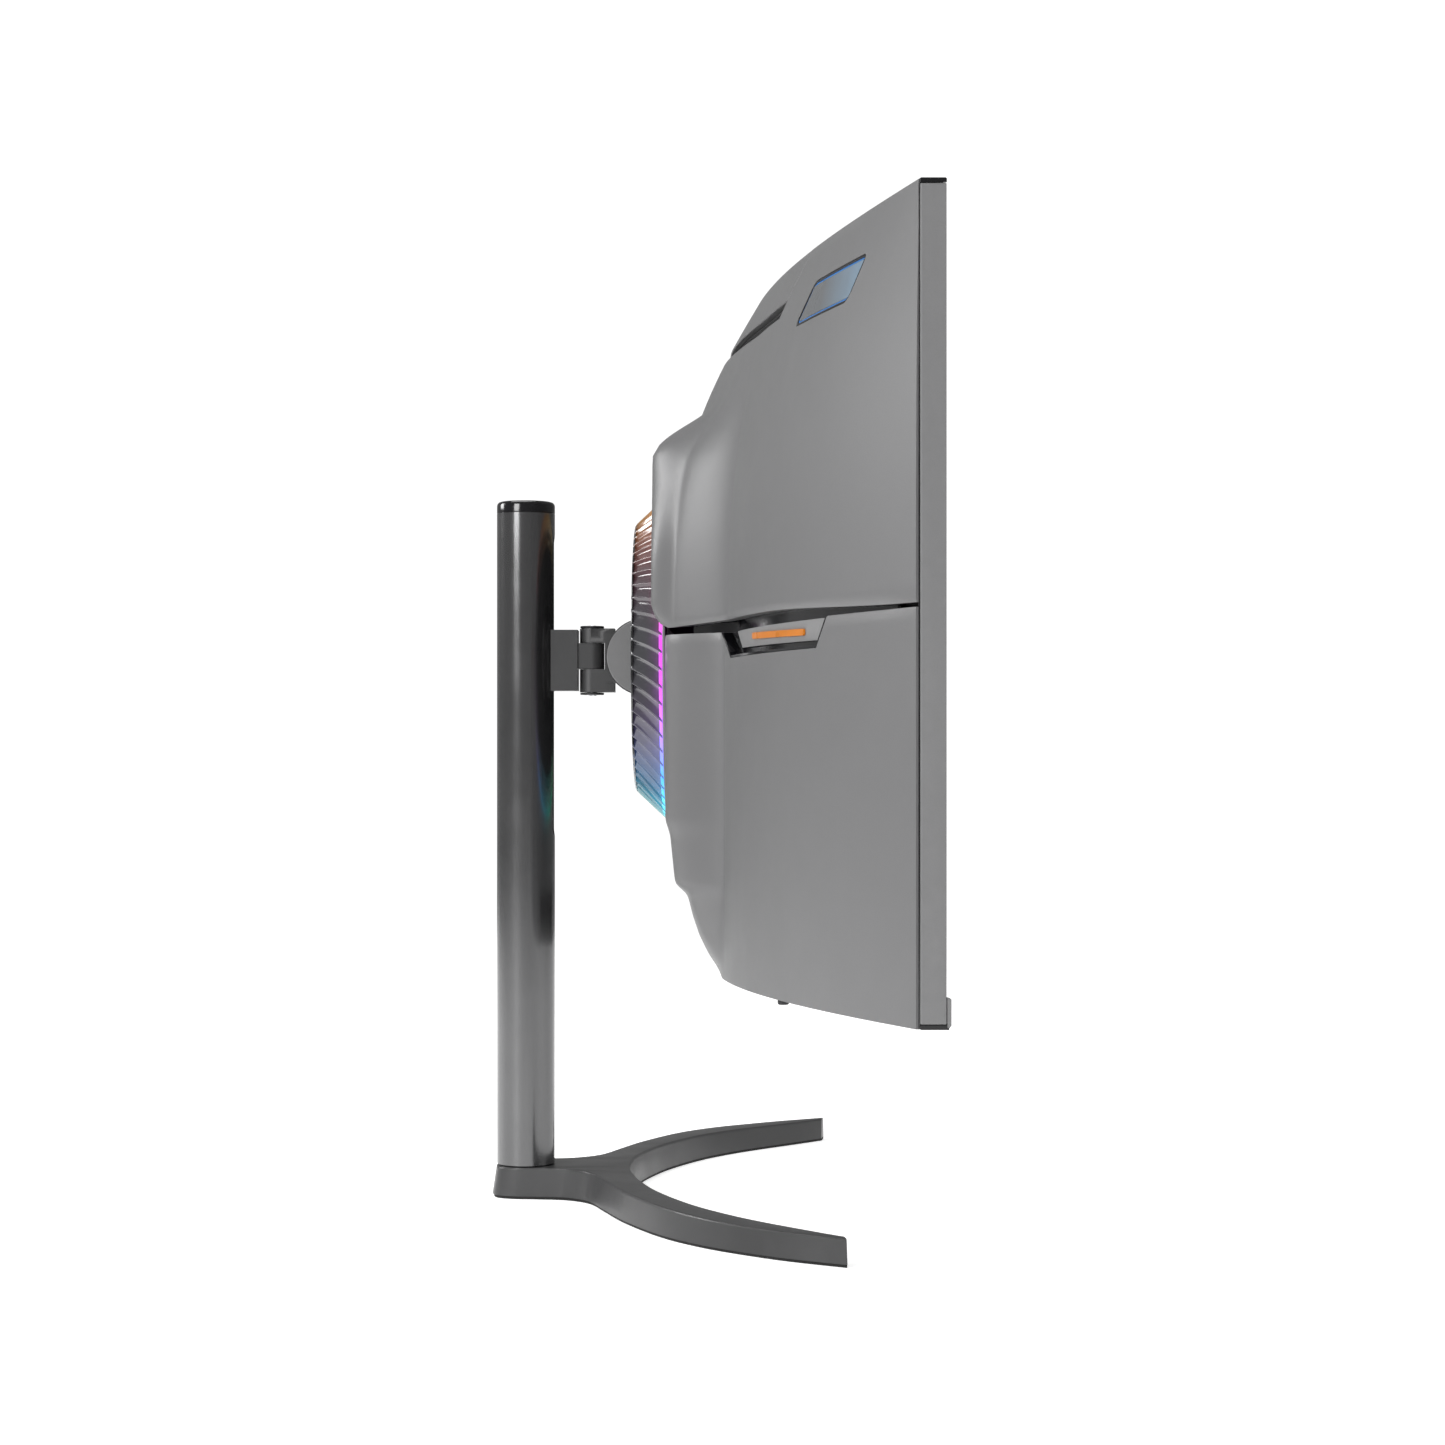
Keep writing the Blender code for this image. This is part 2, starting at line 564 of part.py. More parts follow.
def build_screen(head):
    panel_low = SCREEN_LOW + CHIN_HEIGHT + GAP
    new_object("lcd_panel", panel_sheet(396.6, panel_low, SCREEN_HIGH - 2.4, 0.5, 1.9), "screen", head)
    new_object("light_guide", panel_sheet(395.6, 150, 495, 2.2, 5.0), "film", head)
    new_object("panel_chassis", panel_sheet(395.6, 138, 496, 5.3, 6.3), "steel", head)

    for name, side in (("side_frame_left", -1), ("side_frame_right", 1)):
        y = front_y(HALF_W)
        wall = [(397.2, front_y(397.2)), (HALF_W, y), (HALF_W, y + FRAME_DEPTH), (397.2, y + FRAME_DEPTH),
                (397.2, front_y(397.2) + 7.6), (389.0, front_y(389) + 7.6), (389.0, front_y(389) + 6.6),
                (397.2, front_y(397.2) + 6.6)]
        ends = [[(side * x, yy, z) for x, yy in wall] for z in (SCREEN_LOW + 2.3, SCREEN_HIGH - 2.3)]
        new_object(name, loft(ends), "frame_grey", head)

    edge = columns(HALF_W, [0] + [40 * i for i in range(1, 10)] + [396.8, 397.3])
    top, chin = [], []
    for x in edge:
        y = front_y(x)
        depth = FRAME_DEPTH if abs(x) > 397.0 else STACK_DEPTH
        top.append([(x, y, SCREEN_HIGH - 2.0), (x, y, SCREEN_HIGH), (x, y + depth, SCREEN_HIGH),
                    (x, y + depth, SCREEN_HIGH - 2.0)])
        chin_top = SCREEN_LOW + CHIN_HEIGHT
        chin.append([(x, y - CHIN_PROUD + 0.8, SCREEN_LOW), (x, y - CHIN_PROUD, SCREEN_LOW + 0.8),
                     (x, y - CHIN_PROUD, chin_top), (x, y - GAP, chin_top),
                     (x, y - GAP, SCREEN_LOW + 2.0), (x, y + depth, SCREEN_LOW + 2.0),
                     (x, y + depth, SCREEN_LOW)])
    new_object("top_frame", loft(top), "gloss_black", head)
    new_object("bottom_bezel", loft(chin), "frame_grey", head)


def panel_half(z):
    """Half width of the top centre panel, which widens upwards."""
    share = (z - PANEL_LOW_Z) / (SCREEN_HIGH - PANEL_LOW_Z)
    return PANEL_HALF_LOW + (PANEL_HALF_HIGH - PANEL_HALF_LOW) * share


def build_upper_cover(head):
    sections = []
    for x in columns(COVER_HALF_W, COVER_MARKS):
        sections.append(shell_section(x, UPPER_ROWS, upper_y, SCREEN_HIGH, -1, lip_z(x), 1))
    cover = new_object("upper_rear_cover", loft(sections), "shell_grey", head)
    low, high = VENT_LOW_Z, SCREEN_HIGH + 4
    notch = [[(-panel_half(z), y, z), (panel_half(z), y, z)] for z in (low, high) for y in (20.0, -90.0)]
    a, b, c, d = notch
    cut(cover, loft([[a[0], b[0], d[0], c[0]], [a[1], b[1], d[1], c[1]]]))
    cone = [(0, 0.0), (ring_radius(0.0) + 1.2, 0.0), (ring_radius(40.2) + 1.2, 40.2), (0, 40.2)]
    cut(cover, turned(cone, (0, 0, RING_Z), "Y", 36))
    cut_badges(cover)
    build_top_panel(head)
    return cover


def build_top_panel(head):
    rows = (SCREEN_HIGH, 491, 484, PANEL_LOW_Z + 0.4)
    inner_rows = (SCREEN_HIGH - WALL, 491, 484, PANEL_LOW_Z + 2.0)
    steps = 20
    sections = []
    for i in range(steps + 1):
        share = 2 * i / steps - 1

        def point(z, depth):
            x = share * (panel_half(z) - 0.5)
            return (x, upper_y(x, z) - depth, z)

        front = front_y(share * PANEL_HALF_HIGH) + STACK_DEPTH + 0.4
        top, under = point(rows[0], 0), point(inner_rows[0], 0)
        section = [(top[0], front, top[2])] + [point(z, 0) for z in rows]
        section += [point(rows[-1], 6.0), point(inner_rows[-1], 6.0)]
        section += [point(z, WALL) for z in reversed(inner_rows)]
        sections.append(section + [(under[0], front, under[2])])
    new_object("top_panel", loft(sections), "shell_grey", head)

    pairs = []
    for i in range(steps + 1):
        x = (2 * i / steps - 1) * VENT_HALF_W
        pairs.append(((x, VENT_LOW_Z - 2.0), (x, PANEL_LOW_Z - 0.6)))
    new_object("vent_grille", strip(pairs, upper_y, 3.8, 5.0), "matte_black", head)


def badge_pairs(side, inset, steps=6):
    """Columns of the leaning badge outline, moved in by inset."""
    low, high = BADGE_LOW + inset, BADGE_HIGH - inset
    pairs = []
    for i in range(steps + 1):
        start = BADGE_X + inset + (BADGE_W - 2 * inset) * i / steps
        pair = []
        for z in (low, high):
            pair.append((side * (start + BADGE_LEAN * (z - BADGE_LOW) / (BADGE_HIGH - BADGE_LOW)), z))
        pairs.append(tuple(pair))
    return pairs


def cut_badges(cover):
    for side in (-1, 1):
        cut(cover, strip(badge_pairs(side, 0.0), upper_y, -6.0, 8.0))


def build_badges(head):
    for name, side in (("left", -1), ("right", 1)):
        rim = strip(badge_pairs(side, 0.35), upper_y, 0.3, 3.2)
        frame = new_object(f"badge_frame_{name}", rim, "blue_lens", head)
        cut(frame, strip(badge_pairs(side, 2.2), upper_y, -6.0, 9.0))
        lens = strip(badge_pairs(side, 2.5), upper_y, 0.6, 2.4)
        new_object(f"badge_lens_{name}", lens, "gloss_black", head)


def tray_pairs(side, inset, top):
    """Columns of the trapezoid light bar recess, open at its top and moved in by inset."""
    low = TRAY_LOW_Z + inset
    ends = []
    for z in (low, top):
        rise = z - TRAY_LOW_Z
        ends.append((TRAY_IN_LOW + TRAY_IN_SLOPE * rise + 2.07 * inset,
                     TRAY_OUT_LOW + TRAY_OUT_SLOPE * rise - 1.3 * inset))
    pairs = []
    for i in range(13):
        share = i / 12
        pair = [(side * (start + (end - start) * share), z) for (start, end), z in zip(ends, (low, top))]
        pairs.append(tuple(pair))
    return pairs


def build_accents(head):
    for name, side in (("left", -1), ("right", 1)):
        pairs = []
        for x in COVER_MARKS[7:]:
            pairs.append(((side * x, LOWER_TOP_Z - 5.0), (side * x, LOWER_TOP_Z + 9.0)))
        band = strip(pairs, groove_y, FLANGE + 0.4, FLANGE + 1.8)
        trim = new_object(f"accent_trim_{name}", band, "gloss_black", head)
        join(trim, strip(tray_pairs(side, 0.4, LOWER_TOP_Z - 0.2), lower_rim_y, 0.2, FLANGE + 1.2))
        cut(trim, strip(tray_pairs(side, 2.4, LOWER_TOP_Z + 3.0), lower_rim_y, -8.0, FLANGE - 0.8))
        plate = []
        bar = []
        for i in range(9):
            share = i / 8
            plate.append(((side * (171 + 127 * share), 305.3), (side * (160 + 144 * share), 313.2)))
            x = BAR_START + (BAR_END - BAR_START) * share
            middle = 310.5 - 1.5 * share
            bar.append(((side * x, middle - 1.6), (side * x, middle + 1.6)))
        sheet = strip(plate, lower_rim_y, 4.2, FLANGE - 1.1)
        new_object(f"light_bar_plate_{name}", sheet, "frame_grey", head)
        lens = strip(bar, lower_rim_y, 3.0, 4.0)
        new_object(f"light_bar_lens_{name}", lens, "orange_lens", head)


def build_lower_cover(head):
    sections = []
    for x in columns(COVER_HALF_W, COVER_MARKS):
        rows = tuple(reversed(LOWER_ROWS))
        sections.append(shell_section(x, rows, lower_y, SCREEN_LOW, 1, LOWER_TOP_Z, -1))
    cover = new_object("lower_rear_cover", loft(sections), "shell_grey", head)
    for side in (-1, 1):
        cut(cover, strip(tray_pairs(side, 0.0, LOWER_TOP_Z + 0.5), lower_rim_y, -8.0, FLANGE + 3.0))
    cut(cover, cylinder(60.0, -20.0, 40.0, (0, 0, RING_Z), "Y", 32))
    cut(cover, cylinder(STICK_HOLE_R, 120.0, 139.0, (STICK_X, STICK_Y, 0), steps=20))
    cut(cover, block((-BAY_HALF_W, -40.0, 120.0), (BAY_HALF_W, 20.0, BAY_TOP)))


def build_electronics(head):
    new_object("main_board", block((-160, -39.0, 182), (-12, -37.4, 240)), "board", head)
    new_object("power_board", block((12, -39.0, 182), (150, -37.4, 240)), "board", head)
    high = BAY_TOP - GAP
    side = [(-39.7, 136.2), (boss_y(136.2) - 1.0, 136.2), (boss_y(150) - 1.0, 150),
            (boss_y(high) - 1.0, high), (-39.7, high)]
    ends = [[(x, y, z) for y, z in side] for x in (-BAY_HALF_W + GAP, BAY_HALF_W - GAP)]
    tray = new_object("port_tray", loft(ends), "matte_black", head)
    cut(tray, block((-BAY_HALF_W + 2, -37.5, 120.0), (BAY_HALF_W - 2, 20.0, BAY_TOP - 2.4)))
    for x, half_w, half_d in ((-46, 7.6, 2.7), (-24, 7.6, 2.7), (0, 8.2, 2.6)):
        cut(tray, block((x - half_w, -24 - half_d, 160), (x + half_w, -24 + half_d, 172)))
    for x, radius in ((22, 3.0), (44, 4.2)):
        cut(tray, cylinder(radius, 160, 172, (x, -24, 0), steps=16))


def build_joystick(head, gimbal, stick, cap):
    low, high = 139.5, 153.0
    body = block((STICK_X - 8, STICK_Y - 7, low), (STICK_X + 8, STICK_Y + 3.8, high))
    housing = new_object("joystick_housing", body, "matte_black", head)
    cut(housing, cylinder(3.7, 130, 150.5, (STICK_X, STICK_Y, 0), steps=20))
    centre = (STICK_X, STICK_Y, 0)
    ring = tube(3.3, 2.2, STICK_PIVOT_Z - 1.4, STICK_PIVOT_Z + 1.4, centre, steps=20)
    new_object("joystick_gimbal", ring, "acetal", gimbal)
    new_object("joystick_stick", cylinder(1.6, 138.6, 148.0, centre, steps=16), "acetal", stick)
    new_object("joystick_cap", cylinder(2.8, 129.5, 137.8, centre, steps=20, chamfer=0.6), "matte_black", cap)


def main():
    base = new_empty("base_origin", 0, 0, 0)
    carriage = new_empty("height_slide_axis", 0, POLE_Y, 304.5, base)
    yoke = new_empty("swivel_axis", 0, SWIVEL_Y, 304.5, carriage)
    head = new_empty("tilt_axis", 0, TILT_Y, TILT_Z, yoke)
    gimbal = new_empty("joystick_pitch_axis", STICK_X, STICK_Y, STICK_PIVOT_Z, head)
    stick = new_empty("joystick_roll_axis", STICK_X, STICK_Y, STICK_PIVOT_Z, gimbal)
    cap = new_empty("joystick_press_axis", STICK_X, STICK_Y, 137.8, stick)
    build_stand(base)
    build_carriage(carriage)
    build_yoke(yoke)
    build_tilt_bracket(head)
    build_ring(head)
    build_screen(head)
    build_upper_cover(head)
    build_badges(head)
    build_lower_cover(head)
    build_accents(head)
    build_electronics(head)
    build_joystick(head, gimbal, stick, cap)


main()
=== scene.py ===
"""Looks of the curved desktop monitor: fine shells, light ring, stand and every material."""

import json

from math import atan2, cos, pi, radians, sin, sqrt

import bmesh
import bpy
from mathutils import Matrix, Vector


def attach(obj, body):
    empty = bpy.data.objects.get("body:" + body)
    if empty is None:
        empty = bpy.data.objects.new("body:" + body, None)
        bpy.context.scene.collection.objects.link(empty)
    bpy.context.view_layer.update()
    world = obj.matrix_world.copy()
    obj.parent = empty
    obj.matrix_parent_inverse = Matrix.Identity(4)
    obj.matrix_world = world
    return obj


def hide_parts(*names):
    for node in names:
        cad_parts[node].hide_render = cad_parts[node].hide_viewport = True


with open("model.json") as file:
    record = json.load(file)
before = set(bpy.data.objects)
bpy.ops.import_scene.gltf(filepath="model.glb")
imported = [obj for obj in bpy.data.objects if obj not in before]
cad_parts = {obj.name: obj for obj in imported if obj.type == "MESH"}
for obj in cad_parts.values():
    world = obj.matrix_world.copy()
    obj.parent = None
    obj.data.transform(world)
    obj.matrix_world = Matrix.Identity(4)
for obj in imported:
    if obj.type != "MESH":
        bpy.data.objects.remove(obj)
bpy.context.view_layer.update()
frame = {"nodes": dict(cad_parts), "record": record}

MM = 0.001

# The same driving dimensions as the CAD model, in millimetres
CURVE_R = 1500.0
HALF_W = 399.1
COVER_HALF_W = 396.8
SCREEN_LOW, SCREEN_HIGH = 133.5, 498.8
EDGE_FRONT_Y = -114.75
FRAME_DEPTH, STACK_DEPTH = 11.3, 8.2
CHIN_HEIGHT, CHIN_PROUD = 13.8, 2.0
WALL, FLANGE = 2.4, 8.0
LIP_Z, LOWER_TOP_Z = 319.0, 315.0
HUB_Y, HUB_HALF_W, HUB_FADE_W = 23.2, 88.0, 102.0
HUB_NARROW_Z, HUB_TOP_Z, HUB_BLEND_Z = 350.0, 412.0, 442.0
SHOULDER_LOW_Z, SHOULDER_HIGH_Z = 405.0, 455.0
BOSS_HALF_W, BOSS_FADE_W = 98.0, 140.0
PANEL_LOW_Z, VENT_LOW_Z = 477.0, 469.5
PANEL_HALF_LOW, PANEL_HALF_HIGH = 203.0, 225.0
RING_Z, RING_BASE_Y, RING_REAR_Y = 306.0, 16.2, 34.75
RING_BASE_R, RING_REAR_R = 93.0, 75.6
RING_SLOPE = (RING_REAR_R - RING_BASE_R) / (RING_REAR_Y - RING_BASE_Y)
RING_FINS = 60
RING_SWIRL = radians(-6)
TILT_Y, TILT_Z, TILT_R = 29.35, 306.0, 21.8
CHEEK_IN, CHEEK_OUT = 16.5, 21.0
SWIVEL_Y, KNUCKLE_R = 59.95, 7.0
POLE_Y, POLE_R, POLE_LOW, POLE_HIGH, CAP_HIGH = 97.75, 16.5, 17.8, 388.0, 394.8
SLOT_LOW, SLOT_HIGH, SLOT_W = 204.0, 376.0, 10.4
BASE_LOW, BASE_FOOT_H, BASE_TIP_H, DRAFT = 1.6, 17.5, 14.0, 2.4
STICK_X, STICK_Y, STICK_HOLE_R = -235.0, -46.5, 4.7
BAY_HALF_W, BAY_TOP = 66.0, 168.0


# ---------------------------------------------------------------- material nodes

class Nodes:
    """Short calls for building one material's node tree."""

    def __init__(self, name):
        self.material = bpy.data.materials.new(name)
        self.material.use_nodes = True
        self.tree = self.material.node_tree
        self.shader = self.tree.nodes["Principled BSDF"]
        self.object = self.add("ShaderNodeTexCoord").outputs["Object"]

    def add(self, kind, **settings):
        node = self.tree.nodes.new(kind)
        for key, value in settings.items():
            setattr(node, key, value)
        return node

    def feed(self, socket, value):
        if hasattr(value, "is_output"):
            self.tree.links.new(value, socket)
        else:
            socket.default_value = value

    def math(self, operation, a, b=0.0, c=0.0):
        node = self.add("ShaderNodeMath", operation=operation)
        for socket, value in zip(node.inputs, (a, b, c)):
            self.feed(socket, value)
        return node.outputs[0]

    def noise(self, scale, detail=2.0, rough=0.5, vector=None):
        node = self.add("ShaderNodeTexNoise")
        self.feed(node.inputs["Vector"], vector or self.object)
        node.inputs["Scale"].default_value = scale
        node.inputs["Detail"].default_value = detail
        node.inputs["Roughness"].default_value = rough
        return node.outputs["Fac"]

    def remap(self, value, low, high, out_low, out_high):
        node = self.add("ShaderNodeMapRange")
        for name, number in (("Value", value), ("From Min", low), ("From Max", high),
                             ("To Min", out_low), ("To Max", out_high)):
            self.feed(node.inputs[name], number)
        return node.outputs["Result"]

    def ramp(self, value, stops, mode="LINEAR"):
        node = self.add("ShaderNodeValToRGB")
        node.color_ramp.interpolation = mode
        elements = node.color_ramp.elements
        while len(elements) < len(stops):
            elements.new(0.5)
        for element, (place, colour) in zip(elements, stops):
            element.position = place
            element.color = (*colour, 1.0)
        self.feed(node.inputs["Fac"], value)
        return node.outputs["Color"]

    def mix(self, share, a, b, blend="MIX"):
        node = self.add("ShaderNodeMix", data_type="RGBA", blend_type=blend)
        self.feed(node.inputs["Factor"], share)
        for socket, value in ((node.inputs["A"], a), (node.inputs["B"], b)):
            self.feed(socket, (*value, 1.0) if isinstance(value, tuple) else value)
        return node.outputs["Result"]

    def bump(self, height, distance, strength=1.0):
        node = self.add("ShaderNodeBump")
        node.inputs["Strength"].default_value = strength
        node.inputs["Distance"].default_value = distance
        self.feed(node.inputs["Height"], height)
        return node.outputs["Normal"]

    def around(self):
        """Separated coordinates about the ring's axis, and the angle from the top, 0 to 1 round the ring."""
        shift = self.add("ShaderNodeVectorMath", operation="SUBTRACT")
        self.feed(shift.inputs[0], self.object)
        shift.inputs[1].default_value = (0.0, 0.0, RING_Z * MM)
        split = self.add("ShaderNodeSeparateXYZ")
        self.feed(split.inputs[0], shift.outputs[0])
        x, y, z = split.outputs
        angle = self.math("ARCTAN2", self.math("MULTIPLY", x, -1.0), z)
        turn = self.math("FRACT", self.math("ADD", self.math("DIVIDE", angle, 2 * pi), 1.0))
        return x, y, z, turn


def tinted(colour, share):
    return tuple(min(1.0, c * share) for c in colour)


def moulded(name, colour, rough=(0.42, 0.56), metallic=0.0, grain=0.35, scale=2600.0, wear=0.0, coat=0.0,
            spread=0.07):
    """Moulded, painted or cast surface: fine grain, slow colour drift, uneven gloss and pale worn edges."""
    m = Nodes(name)
    slow = m.noise(14.0, 3.0)
    fine = m.noise(scale, 2.0, 0.6)
    base = m.mix(slow, tinted(colour, 1 - spread), tinted(colour, 1 + spread))
    base = m.mix(m.remap(fine, 0.35, 0.65, 0.0, 0.35), base, tinted(colour, 0.8))
    if wear:
        edge = m.remap(m.add("ShaderNodeNewGeometry").outputs["Pointiness"], 0.52, 0.58, 0.0, wear)
        scuff = m.math("MULTIPLY", edge, m.noise(160.0, 3.0))
        base = m.mix(scuff, base, tinted(colour, 2.1))
    m.feed(m.shader.inputs["Base Color"], base)
    smear = m.math("ADD", m.math("MULTIPLY", m.noise(38.0, 4.0), 0.6), m.math("MULTIPLY", fine, 0.4))
    m.feed(m.shader.inputs["Roughness"], m.remap(smear, 0.35, 0.65, *rough))
    m.shader.inputs["Metallic"].default_value = metallic
    m.shader.inputs["Coat Weight"].default_value = coat
    m.shader.inputs["Coat Roughness"].default_value = 0.12
    if grain:
        m.feed(m.shader.inputs["Normal"], m.bump(fine, 0.00008, grain))
    return m


def brushed(name, colour, rough=(0.22, 0.4), along=(1.0, 1.0, 30.0)):
    """Turned or rolled metal with fine lines."""
    m = Nodes(name)
    mapping = m.add("ShaderNodeMapping")
    m.feed(mapping.inputs["Vector"], m.object)
    mapping.inputs["Scale"].default_value = along
    lines = m.noise(220.0, 4.0, 0.7, mapping.outputs["Vector"])
    m.feed(m.shader.inputs["Base Color"], m.mix(lines, tinted(colour, 0.8), tinted(colour, 1.15)))
    m.feed(m.shader.inputs["Roughness"], m.remap(lines, 0.3, 0.7, *rough))
    m.shader.inputs["Metallic"].default_value = 1.0
    m.feed(m.shader.inputs["Normal"], m.bump(lines, 0.00003, 0.4))
    return m


# Colours round the light ring, from its top down the left side and up the right side
RING_STOPS = ((0.0, (1.0, 0.5, 0.04)), (0.08, (1.0, 0.34, 0.08)), (0.15, (0.9, 0.16, 0.14)),
              (0.21, (0.9, 0.08, 0.5)), (0.235, (0.8, 0.03, 0.92)), (0.295, (0.68, 0.08, 1.0)),
              (0.34, (0.26, 0.16, 1.0)), (0.38, (0.06, 0.3, 1.0)), (0.43, (0.02, 0.55, 0.9)),
              (0.5, (0.0, 0.62, 0.55)), (0.62, (0.02, 0.62, 0.15)), (0.76, (0.4, 0.6, 0.02)), (1.0,
                      (1.0, 0.5, 0.04)))


def ring_plastic():
    """Smoky clear plastic, lit from its base by coloured lights that change round the ring."""
    m = Nodes("ring_smoke")
    _x, y, z, turn = m.around()
    colour = m.ramp(turn, RING_STOPS)
    near_base = m.remap(y, 0.0165, 0.030, 1.0, 0.0)
    near_base = m.math("POWER", near_base, 3.0)
    ends = m.math("POWER", m.math("ABSOLUTE", m.math("MULTIPLY", z, 1 / (RING_BASE_R * MM))), 3.0)
    streak = m.noise(120.0, 3.0, 0.6)
    glow = m.math("ADD", m.math("MULTIPLY", near_base, 0.75), m.math("MULTIPLY", ends, 0.85))
    glow = m.math("MULTIPLY", glow, m.remap(streak, 0.3, 0.7, 0.35, 1.25))
    m.feed(m.shader.inputs["Base Color"], m.mix(m.math("MULTIPLY", ends, 0.3), (0.045, 0.045, 0.05), colour))
    m.feed(m.shader.inputs["Emission Color"], colour)
    m.feed(m.shader.inputs["Emission Strength"], m.math("MULTIPLY", glow, 0.32))
    m.feed(m.shader.inputs["Roughness"], m.remap(streak, 0.3, 0.7, 0.06, 0.18))
    m.shader.inputs["Transmission Weight"].default_value = 0.1
    m.shader.inputs["IOR"].default_value = 1.49
    m.shader.inputs["Coat Weight"].default_value = 0.6
    m.shader.inputs["Coat Roughness"].default_value = 0.05
    return m


def ring_light():
    """Light strip seen between the roots of the fins."""
    m = Nodes("ring_light")
    turn = m.around()[-1]
    colour = m.ramp(turn, RING_STOPS)
    spots = m.noise(90.0, 1.0)
    m.feed(m.shader.inputs["Base Color"], colour)
    m.feed(m.shader.inputs["Emission Color"], colour)
    m.feed(m.shader.inputs["Emission Strength"], m.remap(spots, 0.3, 0.7, 0.45, 0.95))
    m.feed(m.shader.inputs["Roughness"], m.remap(spots, 0.3, 0.7, 0.35, 0.5))
    return m


def shell_plastic(name, colour):
    """Shell paint, with a painted glow of the ring's light on it close round the ring, mostly below the
    ring's centre.
    """
    m = moulded(name, colour, rough=(0.37, 0.42), grain=0.35, wear=0.1, spread=0.015)
    x, _y, z, turn = m.around()
    radius = m.math("SQRT", m.math("ADD", m.math("MULTIPLY", x, x), m.math("MULTIPLY", z, z)))
    share = m.remap(radius, RING_BASE_R * MM, (RING_BASE_R + 16.0) * MM, 1.0, 0.0)
    share = m.math("POWER", share, 2.5)
    below = m.remap(z, 0.012, 0.0, 0.0, 1.0)
    # Painted glow: emission in the ring's colours close round the ring stands in for the ring's light falling
    # on the shell
    m.feed(m.shader.inputs["Emission Color"], m.ramp(turn, RING_STOPS))
    m.feed(m.shader.inputs["Emission Strength"], m.math("MULTIPLY", m.math("MULTIPLY", share, below), 0.35))
    return m


def lens(name, colour, strength, rough=(0.25, 0.4)):
    """Lit plastic lens, brighter over its lamps."""
    m = Nodes(name)
    spots = m.noise(70.0, 2.0)
    m.feed(m.shader.inputs["Base Color"], m.mix(spots, tinted(colour, 0.85), tinted(colour, 1.1)))
    m.feed(m.shader.inputs["Emission Color"], m.mix(spots, tinted(colour, 0.9), tinted(colour, 1.1)))
    m.feed(m.shader.inputs["Emission Strength"], m.remap(spots, 0.3, 0.7, strength * 0.9, strength * 1.1))
    m.feed(m.shader.inputs["Roughness"], m.remap(spots, 0.3, 0.7, *rough))
    return m


def badge_glass():
    """Dark glass with a pale blue bloom that grows towards its outer end."""
    m = Nodes("badge_glass")
    split = m.add("ShaderNodeSeparateXYZ")
    m.feed(split.inputs[0], m.object)
    side = m.math("ABSOLUTE", split.outputs[0])
    bloom = m.remap(side, 0.275, 0.335, 0.0, 1.0)
    cloud = m.noise(60.0, 3.0)
    colour = m.mix(m.math("MULTIPLY", bloom, m.remap(cloud, 0.2, 0.8, 0.7, 1.0)), (0.1, 0.105, 0.11),
                   (0.16, 0.24, 0.32))
    m.feed(m.shader.inputs["Base Color"], colour)
    m.feed(m.shader.inputs["Roughness"], m.remap(cloud, 0.3, 0.7, 0.05, 0.12))
    m.feed(m.shader.inputs["Emission Color"], colour)
    m.shader.inputs["Emission Strength"].default_value = 0.1
    m.shader.inputs["Specular IOR Level"].default_value = 0.25
    return m


def screen_glass():
    """Switched-off anti-glare screen: near black, with a fine sparkle and a very faint pixel structure."""
    m = Nodes("screen")
    fine = m.noise(5200.0, 1.0)
    slow = m.noise(6.0, 2.0)
    m.feed(m.shader.inputs["Base Color"], m.mix(slow, (0.007, 0.007, 0.009), (0.012, 0.012, 0.015)))
    m.feed(m.shader.inputs["Roughness"], m.remap(fine, 0.3, 0.7, 0.26, 0.36))
    m.feed(m.shader.inputs["Normal"], m.bump(fine, 0.00001, 0.5))
    m.shader.inputs["Coat Weight"].default_value = 0.2
    m.shader.inputs["Coat Roughness"].default_value = 0.25
    return m


def circuit_board(name, colour):
    """Solder mask with a pattern of tracks and pads."""
    m = Nodes(name)
    cells = m.add("ShaderNodeTexVoronoi", feature="DISTANCE_TO_EDGE")
    m.feed(cells.inputs["Vector"], m.object)
    cells.inputs["Scale"].default_value = 180.0
    tracks = m.remap(cells.outputs["Distance"], 0.02, 0.05, 1.0, 0.0)
    m.feed(m.shader.inputs["Base Color"], m.mix(tracks, colour, tinted(colour, 2.6)))
    m.feed(m.shader.inputs["Roughness"], m.remap(m.noise(300.0), 0.3, 0.7, 0.3, 0.5))
    m.feed(m.shader.inputs["Normal"], m.bump(tracks, 0.00005, 0.5))
    return m


